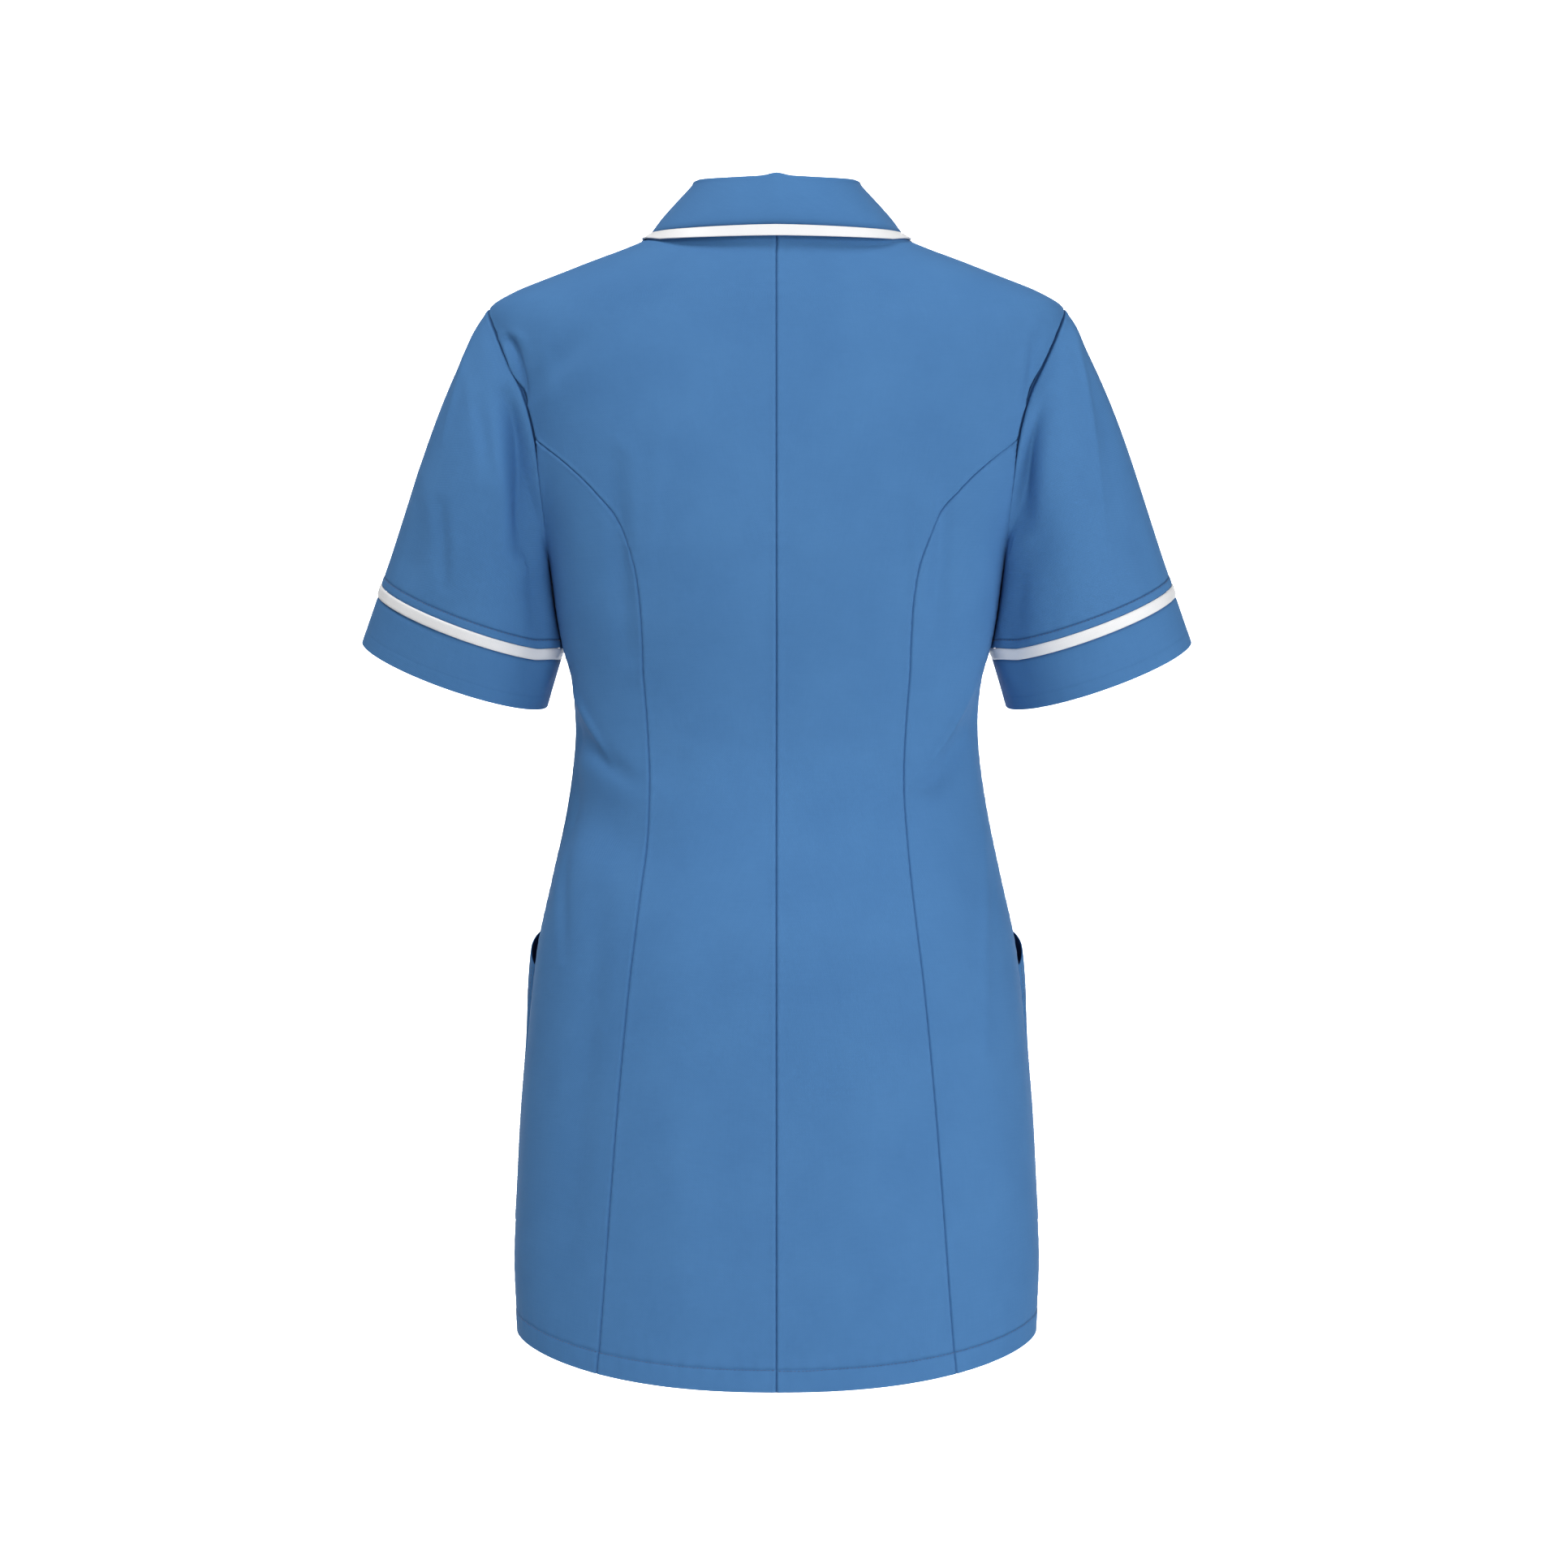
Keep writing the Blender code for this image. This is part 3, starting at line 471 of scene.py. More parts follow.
class Finish:
    # one material and the nodes it is built from
    def __init__(self, name, shaderValues):
        self.material = bpy.data.materials.new(name)
        self.material.use_nodes = True
        self.tree = self.material.node_tree
        self.shader = self.tree.nodes["Principled BSDF"]
        for socket, value in shaderValues.items():
            self.shader.inputs[socket].default_value = value

    def node(self, kind, settings=None, output=0, **sockets):
        made = self.tree.nodes.new(kind)
        for setting, value in (settings or {}).items():
            setattr(made, setting, value)
        for socket, value in sockets.items():
            target = made.inputs[int(socket[2:]) if socket.startswith("at") else socket.replace("_", " ")]
            if isinstance(value, Wire):
                self.tree.links.new(value.socket, target)
            else:
                target.default_value = value
        return Wire(self.tree, made.outputs[output])

    def objectPlace(self):
        return self.node("ShaderNodeTexCoord", {}, 3)

    def clothPlace(self):
        return self.node("ShaderNodeUVMap", {"uv_map": "cloth"})

    # the painted-shade mask of the seams, stitch lines and edges
    def paintedSeamShade(self):
        return self.node("ShaderNodeAttribute", {"attribute_name": "seam"}, 2)

    def noise(self, vector, scale, detail=2.0):
        return self.node("ShaderNodeTexNoise", Vector=vector, Scale=scale, Detail=detail)

    def bands(self, direction, **sockets):
        return self.node("ShaderNodeTexWave", {"wave_type": "BANDS", "bands_direction": direction}, 1, **sockets)

    def bump(self, strength, height, distance=0.0001, **sockets):
        return self.node("ShaderNodeBump", Strength=strength, Distance=distance, Height=height, **sockets)

    def stretched(self, vector, scale):
        return self.node("ShaderNodeMapping", Vector=vector, Scale=scale)

    def blend(self, factor, first, second):
        # at0 is the factor, at6 and at7 the two colours
        return self.node("ShaderNodeMix", {"data_type": "RGBA"}, 2, at0=factor, at6=first, at7=second)

    def feed(self, socket, wire):
        self.tree.links.new(wire.socket, self.shader.inputs[socket])


clothLook = {
    "shade": (0.056, 0.171, 0.392, 1.0), "light": (0.083, 0.230, 0.486, 1.0),
    # the darkest colour here is painted shade, laid into seams, stitch lines and edges
    "paintedSeamShade": (0.016, 0.055, 0.150, 1.0), "yarn": 0.62, "mottleRise": 0.0014,
}


def clothFinish(name, look):
    # woven poly-cotton: a fine twill, slubs along the yarns, soft mottling, and painted shade darkening the seams,
    # stitch lines and edges
    made = Finish(name, {"Roughness": 0.8, "Sheen Weight": 0.03, "Sheen Roughness": 0.5,
                         "Sheen Tint": (0.55, 0.75, 1.0, 1.0), "Specular IOR Level": 0.12})
    place, weave = made.objectPlace(), made.clothPlace()
    mottle = made.noise(place, 26.0, 3.0)
    broad = made.noise(place, 7.0, 1.0)
    warp = made.noise(made.stretched(weave, (1.3, 0.05, 1.0)), 1.0)
    weft = made.noise(made.stretched(weave, (0.06, 1.2, 1.0)), 1.0)
    slub = 0.5 * warp + 0.5 * weft
    twill = made.bands("DIAGONAL", Vector=weave, Scale=0.35 / look["yarn"], Distortion=0.6, Detail=1.0)
    tone = 0.30 + 0.34 * mottle + 0.20 * broad + 0.30 * (slub - 0.5) + 0.10 * (twill - 0.5)
    ramp = made.tree.nodes.new("ShaderNodeValToRGB")
    for stop, (at, colour) in enumerate(((0.25, look["shade"]), (0.8, look["light"]))):
        ramp.color_ramp.elements[stop].position = at
        ramp.color_ramp.elements[stop].color = colour
    made.tree.links.new(tone.socket, ramp.inputs[0])
    # painted shade: the seam mask pulls the cloth's colour towards its dark seam colour
    made.feed("Base Color", made.blend(0.8 * made.paintedSeamShade(), Wire(made.tree, ramp.outputs[0]), look["paintedSeamShade"]))
    made.feed("Roughness", 0.72 + 0.12 * mottle + 0.06 * slub)
    fine = made.bump(0.55, 0.6 * twill + 0.9 * slub)
    made.feed("Normal", made.bump(0.4, mottle, look["mottleRise"], Normal=fine))
    return made.material


trimLook = {"white": (0.95, 0.955, 0.96, 1.0), "shade": (0.80, 0.82, 0.86, 1.0), "rib": 0.9}


def trimFinish(name, look):
    # satin tape: fine ribs across its length, a soft gloss, and painted shade along its lines
    made = Finish(name, {"Roughness": 0.42, "Sheen Weight": 0.12, "Sheen Roughness": 0.3, "Specular IOR Level": 0.5})
    rib = made.bands("X", Vector=made.clothPlace(), Scale=0.32 / look["rib"], Distortion=0.4)
    soft = made.noise(made.objectPlace(), 60.0)
    white = made.blend(0.22 * (1 - rib) + 0.35 * soft, look["white"], look["shade"])
    # painted shade: the seam mask darkens the tape's edge lines and ends
    made.feed("Base Color", made.blend(0.45 * made.paintedSeamShade(), white, look["shade"]))
    made.feed("Roughness", 0.36 + 0.16 * soft)
    made.feed("Normal", made.bump(0.5, rib + soft))
    return made.material


def threadFinish(name, colour):
    # twisted sewing thread
    made = Finish(name, {"Roughness": 0.6, "Sheen Weight": 0.3})
    twist = made.noise(made.stretched(made.objectPlace(), (2.0, 2.0, 0.7)), 900.0, 1.0)
    dark = tuple(0.7 * channel for channel in colour[:3]) + (1.0,)
    made.feed("Base Color", made.blend(twist, colour, dark))
    made.feed("Normal", made.bump(0.4, twist))
    return made.material


def buttonFinish(name):
    # moulded plastic with a faint pearl cloud
    made = Finish(name, {"Roughness": 0.24, "Coat Weight": 0.35, "Coat Roughness": 0.12, "Specular IOR Level": 0.5})
    cloud = made.noise(made.objectPlace(), 180.0, 3.0)
    made.feed("Base Color", made.blend(cloud, (0.82, 0.83, 0.84, 1.0), (0.68, 0.70, 0.72, 1.0)))
    made.feed("Roughness", 0.2 + 0.12 * cloud)
    return made.material


blueCloth = clothFinish("blueTwill", clothLook)
# the inside of the pockets is painted near-black, a painted shadow inside the gape
pocketShadowTones = {"shade": (0.010, 0.030, 0.085, 1.0), "light": (0.016, 0.048, 0.120, 1.0)}
pocketShadowCloth = clothFinish("pocketPaintedShadow", {**clothLook, **pocketShadowTones})
whiteTrim = trimFinish("whiteSatinTape", trimLook)
blueThread = threadFinish("blueThread", (0.030, 0.095, 0.235, 1.0))
whiteThread = threadFinish("whiteThread", (0.80, 0.81, 0.82, 1.0))
whiteButton = buttonFinish("whiteButton")
print("finishes ready")


# panels of the torso

panelForm = {
    "thickness": 0.8, "backRow": 2.7, "frontRow": 4.4, "armholeRows": 66, "shoulderRows": 42,
    "armholeTop": -42, "armholeBottom": -207, "armholeBack": 46, "armholeFront": 50,
    "princessTop": -131, "sideTip": -131.3, "quarterSteps": 60,
    "backCells": 70, "sideCells": 36, "frontCells": 24,
    "backLines": (0.3, 0.65), "sideLines": (0.5, 0.3), "frontLines": (0.6, 0),
    "princess": ((-131, 156), (-151, 132), (-164, 119), (-182, 105), (-218, 90.5), (-284, 85.5), (-348, 82),
                 (-406, 85.5), (-490, 95), (-615, 106.5), (-711, 115)),
    "neckline": ((10, 62), (0, 60), (-25, 54), (-55, 40), (-90, 19), (-118, 0), (-142, -16)),
    "dart": ((-250, 74), (-330, 78), (-420, 82), (-560, 84)), "dartTop": -262, "dartBottom": -545, "dartFade": 30,
    "dartShare": 0.55, "dartBlend": (-250, -205), "frontTop": 7.5,
    "frontOverlap": 16, "necklineEnd": -142, "overlapLift": 1.9, "overlapFlat": 18, "overlapBlend": 24,
    "liftFull": -114, "liftGone": -86,
}
hemRowSteps = (0, 0.4, 1, 2, 3.5, 5.5, 7.5, 9.5, 11.2, 12.3, 13, 13.5, 14, 14.5, 15, 16, 17.5, 20, 23)


def armholeAngle(height, reach):
    form = panelForm
    t = np.clip((form["armholeTop"] - height) / (form["armholeTop"] - form["armholeBottom"]), 0, 1)
    return angleAtDepth(reach * 2 * np.sqrt(t * (1 - t)), height)


def princessAngle(height):
    return angleAtWidth(throughTable(*zip(*panelForm["princess"]), height), height, True)


def necklineAngle(height):
    return angleAtWidth(throughTable(*zip(*panelForm["neckline"]), height), height, False)


def panelHeights(rowHeight):
    form = panelForm
    top, bottom, hem = form["armholeTop"], form["armholeBottom"], torsoForm["hemHeight"]
    lower = [hem + step for step in hemRowSteps]
    count = int((bottom - lower[-1]) / rowHeight)
    lower += list(np.linspace(lower[-1], bottom, count + 1)[1:])
    middle, half = (top + bottom) / 2, (top - bottom) / 2
    turn = np.linspace(0, math.pi, form["armholeRows"] + 1)[1:]
    arm = sorted(list(middle - half * np.cos(turn)) + [form["princessTop"], form["sideTip"]])
    upper = list(np.linspace(top, torsoForm["neckHeight"], form["shoulderRows"] + 1)[1:])
    return np.array(lower + arm + upper)


def torsoCloth(angle, height, side, out):
    # points of the finished cloth and its normals, before it is mirrored to the wearer's right
    hem = torsoForm["hemHeight"]
    inside = np.clip(height, hem + 1, torsoForm["neckHeight"] - 1)
    normals = torsoNormal(angle, inside + 0 * angle)
    points = torsoPoint(angle, height)
    out = out + clothFolds(points, normals, side, backFolds, frontFolds)
    return points + normals * np.expand_dims(out, -1), normals


def overlapLift(angle, height):
    form = panelForm
    x = ringRadius(angle, height) * np.cos(angle)
    nearEdge = 1 - smoothStep(form["overlapFlat"], form["frontOverlap"] + form["overlapBlend"], x)
    return form["overlapLift"] * nearEdge * (1 - smoothStep(form["liftFull"], form["liftGone"], height))


def sewnSteps(under):
    # distances of the rows across a seam allowance and away from its seam
    steps = tuple(under * step / seamLook["under"] for step in seamLook["underSteps"])
    return steps + tuple(under + step for step in seamLook["edgeSteps"])


def panelSheet(name, side, heights, bounds, cells, lines, highSeam=True, lift=None, dart=False):
    # rows run between the seams that bounds gives for each height, and lines says how much painted shade darkens both
    # seams
    heights = np.array(heights)
    form, look = panelForm, seamLook
    edge = look["edgeSteps"]
    sewnEdge = sewnSteps(look["under"])
    limits = [bound(heights) for bound in bounds]
    way = np.sign(limits[-1] - limits[0])
    step = torsoForm["normalSteps"][0] / 2
    for limit, sewn, turn in ((0, True, -1), (-1, highSeam, 1)):
        ahead, behind = torsoPoint(limits[limit] + step, heights), torsoPoint(limits[limit] - step, heights)
        pace = np.linalg.norm(ahead - behind, axis=1) / (2 * step)
        limits[limit] = limits[limit] + sewn * turn * way * look["under"] / pace
    starts = [sewnEdge] + [edge] * (len(cells) - 1)
    ends = [edge] * (len(cells) - 1) + [sewnEdge if highSeam else edge]
    spans = []
    for low, high, first, last, count in zip(limits, limits[1:], starts, ends, cells):
        spans.append(spreadAlong(lambda params: torsoPoint(params, heights[:, None]), low, high, first, last, count))
    angles = np.concatenate([span[0] for span in spans], axis=1)
    starts = np.cumsum([0 * spans[0][2]] + [span[2] for span in spans], axis=0)
    along = np.concatenate([span[1] + start[:, None] for span, start in zip(spans, starts)], axis=1)
    tall = heights[:, None] + 0 * angles
    fromLow = along - look["under"]
    fromHigh = starts[-1][:, None] - along - highSeam * look["under"]
    out = lift(angles, tall) if lift else 0 * angles
    # seam is a painted-shade mask: tucked allowances, seam lines, darts, topstitching and the hem's stitch line are
    # darkened in the colour
    seam = 0 * angles
    for distance, sewn, line in ((fromLow, True, lines[0]), (fromHigh, highSeam, lines[1])):
        if sewn:
            out = out + seamShape(distance, tall)
            tucked = bell(distance / look["tuckFade"])
            seam = np.maximum(seam, np.where(distance < 0, tucked, line * bell(distance / look["lineWidth"])))
        else:
            # a turned edge with a line of topstitching beside it
            fromStitch = distance - look["edgeStitch"]
            out = out - softLine(look["edgeRound"], distance)
            out = out + stitchedShape(fromStitch, tall, look["edgeStep"])
            seam = np.maximum(seam, softLine(look["edgeLine"], fromStitch))
    if dart:
        reach = smoothStep(form["dartBottom"], form["dartBottom"] + form["dartFade"], tall)
        reach = reach * (1 - smoothStep(form["dartTop"] - form["dartFade"], form["dartTop"], tall))
        off = abs(along - starts[1][:, None])
        out = out + reach * seamShape(off, tall)
        seam = np.maximum(seam, reach * softLine(look["dartLine"], off))
    hemGap = tall - torsoForm["hemHeight"]
    fromStitch = hemGap - look["hemStitch"]
    out = out + np.where(hemGap < look["hemReach"], stitchedShape(fromStitch, along, look["hemStep"]), 0)
    seam = np.maximum(seam, softLine(look["hemLine"], fromStitch))
    points, normals = torsoCloth(angles, tall, side, out)
    length = alongPath(points[:, points.shape[1] // 2])
    turn = np.linspace(0, math.pi / 2, form["quarterSteps"])[None, :] * np.sign(angles.mean())
    quarter = cumulative(torsoPoint(turn, heights[:, None]))[:, -1:]
    uv = np.stack([along - starts[-1][:, None] + quarter, length[:, None] + 0 * along], axis=-1)
    return finishedSheet(name, side, points, normals, uv, seam, form["thickness"], blueCloth)


def makeBack(side):
    form = panelForm

    def outer(heights):
        arm = armholeAngle(heights, form["armholeBack"])
        above = np.where(heights < form["armholeTop"], arm, 0.0)
        return np.where(heights <= form["princessTop"], princessAngle(heights), above)

    def middle(heights):
        return np.full(len(heights), math.pi / 2)

    heights = panelHeights(form["backRow"])
    return panelSheet("backPanel_" + sideName(side), side, heights, (outer, middle), (form["backCells"],),
                      form["backLines"])


def makeSideBack(side):
    form = panelForm

    def outer(heights):
        return np.where(heights <= form["armholeBottom"], 0.0, armholeAngle(heights, form["armholeBack"]))

    heights = [height for height in panelHeights(form["backRow"]) if height <= form["sideTip"]]
    return panelSheet("sideBack_" + sideName(side), side, heights, (outer, princessAngle), (form["sideCells"],),
                      form["sideLines"])


def makeFront(side):
    form = panelForm

    def outer(heights):
        inArm = (heights > form["armholeBottom"]) & (heights < form["armholeTop"])
        return np.where(inArm, armholeAngle(heights, -form["armholeFront"]), 0.0)

    def inner(heights):
        free = angleAtWidth(np.full(len(heights), -float(form["frontOverlap"])), heights, False)
        return np.where(heights < form["necklineEnd"], free, necklineAngle(heights))

    def dart(heights):
        line = angleAtWidth(throughTable(*zip(*form["dart"]), heights), heights, False)
        between = outer(heights) + form["dartShare"] * (inner(heights) - outer(heights))
        return between + (line - between) * (1 - smoothStep(*form["dartBlend"], heights))

    rows = [height for height in panelHeights(form["frontRow"]) if height < torsoForm["neckHeight"] - 1]
    heights = sorted(rows + [form["necklineEnd"], form["frontTop"]])
    lift = overlapLift if side < 0 else None
    return panelSheet("frontPanel_" + sideName(side), side, heights, (outer, dart, inner),
                      (form["frontCells"], form["frontCells"]), form["frontLines"], False, lift, True)


panels = {}
for side in (1, -1):
    panels["back", side] = makeBack(side)
    panels["sideBack", side] = makeSideBack(side)
    panels["front", side] = makeFront(side)
print("torso panels made")


# sleeves, their trims and cuffs

sleeveForm = {
    "thickness": 0.8, "trimThickness": 1.2, "columns": 160, "cells": 60, "trimCells": 5, "cuffCells": 12,
    "start": 0.6, "standTop": 0.1, "standBottom": 0.8, "normalSteps": (0.05, 0.02),
    "hemLoop": (274.5, -259.5, 151.5, -302, -31, 59, 12), "trimLoop": (260.8, -221.5, 142.5, -263.5, -23, 61, 10.5),
    "leave": ((0.52, 0.0, -0.85), (0.50, 0.22, -0.84), (0.34, -0.25, -0.90), (0.50, -0.34, -0.80)),
    "trimDepth": 7.3, "loopGap": 40.4, "stitchAbove": 6.0, "hemBand": 9.0, "trimRise": 0.95, "cuffSink": 0.45,
    "headUnder": 3.0, "headRise": 0.3, "capRise": 0.9, "capTurn": 0.45, "capAt": 12, "capReach": 11,
    "restGap": 0.7, "restTuck": -1.6, "restTurn": 62, "restStart": 0.1, "restReach": 18, "restFade": (0.3, 1.0),
    # shares of the way down where the fullness and the folds come in and go out
    "fullIn": (0.0, 0.12), "fullOut": (0.85, 1.0), "foldIn": (0.02, 0.1), "foldOut": (0.97, 1.03),
    "normalTop": 0.03, "headLimit": -0.1,
    # steps of doubled cloth, then how far edges are rounded off, and depth and width of the painted-shade lines
    "hemStep": 0.3, "cuffStep": 0.2, "hemRound": (0.5, 0.6), "trimRound": (0.6, 0.5), "trimEndRound": (0.5, 0.5),
    "headLine": (1, 0.8), "stitchLine": (0.75, 0.6), "trimLine": (0.5, 0.6), "cuffLine": (0.85, 1.3),
    "cuffStitchLine": (0.08, 0.8), "cuffSinkReach": 4, "cuffShare": 0.25,
    # around in degrees, down from 0 to 1, spreads of both, rise
    "fullness": ((112, 0.45, 20, 0.34, -4.0), (70, 0.16, 16, 0.14, -2.0), (40, 0.86, 12, 0.16, -2.0),
                 (25, 0.45, 18, 0.34, 0.8), (250, 0.42, 20, 0.32, -3.5)),
    "trimSteps": (0, 0.2, 0.5, 1.0), "cuffSteps": (0, 0.3, 0.7, 1.3, 2.2, 4),
    "hemSteps": (0, 0.3, 0.8, 1.6, 3, 5, 6.5, 7.6, 8.4, 9, 9.6, 10.4, 12),
    "stitchSteps": (0, 0.3, 0.7, 1.3, 2.2, 3.4, 4.6, 5.2, 5.6, 6.0, 6.4, 6.9, 7.6, 8.8, 10.5),
}


def armholeStart(around):
    form = panelForm
    top, bottom = form["armholeTop"], form["armholeBottom"]
    height = (top + bottom) / 2 + (top - bottom) / 2 * np.cos(around)
    reach = np.where(np.sin(around) >= 0, form["armholeBack"], form["armholeFront"])
    angle = angleAtDepth(reach * np.sin(around), height)
    normal = torsoNormal(angle, height)
    low = ((1 - np.cos(around)) / 2)**2
    stand = sleeveForm["standTop"] + (sleeveForm["standBottom"] - sleeveForm["standTop"]) * low
    return torsoPoint(angle, height) + normal * stand[..., None]


def loopPoint(loop, around):
    outerX, outerZ, innerX, innerZ, centreY, halfDepth, tilt = loop
    cos, sin, lean = np.cos(around), np.sin(around), math.radians(tilt)
    x = (outerX + innerX) / 2 + (outerX - innerX) / 2 * cos
    y = centreY + halfDepth * math.cos(lean) * sin
    z = (outerZ + innerZ) / 2 + (outerZ - innerZ) / 2 * cos - halfDepth * math.sin(lean) * sin
    return xyz(x, y, z)


def leaveWay(around):
    top, back, bottom, front = (np.array(way) for way in sleeveForm["leave"])
    upright, level = (top + bottom) / 2, (back + front) / 2
    twice, cos, sin = (np.expand_dims(v, -1) for v in (np.cos(2 * around), np.cos(around), np.sin(around)))
    way = (upright + level) / 2 + (upright - level) / 2 * twice + (top - bottom) / 2 * cos + (back - front) / 2 * sin
    return unit(way)


def sleevePath(around, down):
    # down is 0 at the armhole and 1 at the top of the trim, then goes on to the cuff's hem at 2
    around, down = np.broadcast_arrays(around, down)
    hem, trim = loopPoint(sleeveForm["hemLoop"], around), loopPoint(sleeveForm["trimLoop"], around)
    start = armholeStart(around)
    chord = np.linalg.norm(trim - start, axis=-1, keepdims=True)
    leave, arrive = leaveWay(around), unit(hem - trim)
    t = np.expand_dims(np.clip(down, sleeveForm["headLimit"], 1.0), -1)
    upper = hermite(start + leave * sleeveForm["start"], leave * chord, trim, arrive * chord, t)
    past = np.expand_dims(np.maximum(down - 1, 0), -1)
    return upper + (hem - trim) * past


def sleeveCloth(around, down, side, out):
    # points of the finished sleeve and its outward normals
    form = sleeveForm
    below = np.maximum(down, form["normalTop"]) + 0 * around
    normals = -normalOf(sleevePath, around, below, *form["normalSteps"])
    fade = (1 - smoothStep(*form["fullOut"], down)) * smoothStep(*form["fullIn"], down)
    full = 0
    for centre, low, turnSpread, downSpread, rise in form["fullness"]:
        turned = (np.degrees(around) - centre + 180) % 360 - 180
        full = full + rise * bell(turned / turnSpread) * bell((down - low) / downSpread)
    points = sleevePath(around, down)
    rise = clothFolds(points, normals, side, backSleeveFolds, frontSleeveFolds) * smoothStep(*form["foldIn"], down)
    out = out + full * fade + rise * (1 - smoothStep(*form["foldOut"], down))
    push = normals * np.expand_dims(out, -1)
    return points + push + restOnBody(sleevePath(around, np.minimum(down, 1.0)) + push, around, down), normals


def restOnBody(points, around, down):
    # the underarm side of the sleeve lies against the torso down to the trim, then swings clear
    form = sleeveForm
    angle = np.arctan2(points[..., 1], points[..., 0])
    body = torsoPoint(angle, points[..., 2])
    away = torsoNormal(angle, points[..., 2])
    gap = ((points - body) * away).sum(axis=-1)
    turned = (np.degrees(around) + 360) % 360 - 180
    share = bell(turned / form["restTurn"]) * np.clip(2 - down, 0, 1)
    wanted = form["restTuck"] + (form["restGap"] - form["restTuck"]) * smoothStep(0, form["restStart"], down)
    share = share * (1 - smoothStep(*form["restFade"], gap / form["restReach"]))
    return -away * np.expand_dims(np.where(gap < wanted, 1, share) * (gap - wanted), -1)


def sleeveTurns():
    return np.linspace(0, 2 * math.pi, sleeveForm["columns"] + 1)


def sleeveBand(name, side, lows, highs, lowEdge, highEdge, cells, shape, thickness, material):
    around = sleeveTurns()[:-1]
    down, along, length = spreadAlong(lambda params: sleevePath(around[:, None], params), lows + 0 * around,
                                      highs + 0 * around, lowEdge, highEdge, cells)
    down, along, turn = down.T, along.T, around[None, :] + 0 * down.T
    across = alongPath(sleevePath(sleeveTurns(), 1.0))
    out, seam = shape(along, length[None, :] - along, across[None, :-1])
    points, normals = sleeveCloth(turn, down, side, out)
    uv = np.stack([across[None, :] + 0 * along[:, :1], np.concatenate([along, along[:, :1]], axis=1)], axis=-1)
    return finishedSheet(name, side, points, normals, uv, seam, thickness, material, closed=True)


def makeSleeve(side):
    form = sleeveForm
    trimEnd = 1.0 + form["trimDepth"] / form["loopGap"]
    name = sideName(side)
    around = sleeveTurns()[:-1]
    headStart = -form["headUnder"] / np.linalg.norm(loopPoint(form["trimLoop"], around) - armholeStart(around), axis=1)

    def sleeveShape(along, fromTrim, across):
        fromTop, fromStitch = along - form["headUnder"], fromTrim - form["stitchAbove"]
        full = form["headRise"] + form["capRise"] * bell(np.sin(around / 2) / form["capTurn"])
        head = seamShape(fromTop, across) + full * bell((fromTop - form["capAt"]) / form["capReach"])
        out = head + stitchedShape(fromStitch, across, form["hemStep"]) - softLine(form["hemRound"], fromTrim)
        # painted shade in the seam at the armhole and along the stitch line above the trim
        line = np.where(fromTop < 0, 1, softLine(form["headLine"], fromTop))
        return out, np.maximum(line, softLine(form["stitchLine"], fromStitch))

    def trimShape(fromTop, fromEnd, across):
        rounded = softLine(form["trimRound"], fromTop) + softLine(form["trimEndRound"], fromEnd)
        # painted shade along the trim's edges
        line = softLine(form["trimLine"], np.minimum(fromTop, fromEnd))
        return form["trimRise"] - rounded + 0 * across, line + 0 * across

    def cuffShape(fromTop, fromHem, across):
        fromStitch = fromHem - form["hemBand"]
        sink = form["cuffSink"] * (smoothStep(0, form["cuffSinkReach"], fromTop) - 1)
        out = sink + stitchedShape(fromStitch, across, form["cuffStep"]) * form["cuffShare"]
        # painted shadow under the trim's edge at the top of the cuff, and painted shade at the hem's stitching
        line = np.maximum(softLine(form["cuffLine"], fromTop), softLine(form["cuffStitchLine"], fromStitch))
        return out, line + 0 * across

    return {
        "sleeve": sleeveBand("sleeveCloth_" + name, side, headStart, 1.0, sewnSteps(form["headUnder"]),
                             form["stitchSteps"], form["cells"], sleeveShape, form["thickness"], blueCloth),
        "trim": sleeveBand("sleeveTrim_" + name, side, 1.0, trimEnd, form["trimSteps"], form["trimSteps"],
                           form["trimCells"], trimShape, form["trimThickness"], whiteTrim),
        "cuff": sleeveBand("cuffBand_" + name, side, trimEnd, 2.0, form["cuffSteps"], form["hemSteps"],
                           form["cuffCells"], cuffShape, form["thickness"], blueCloth),
    }


sleeves = {side: makeSleeve(side) for side in (1, -1)}
print("sleeves made")


# collar: a stand and a leaf turned over it in one strip, with a satin tape on its outer edge

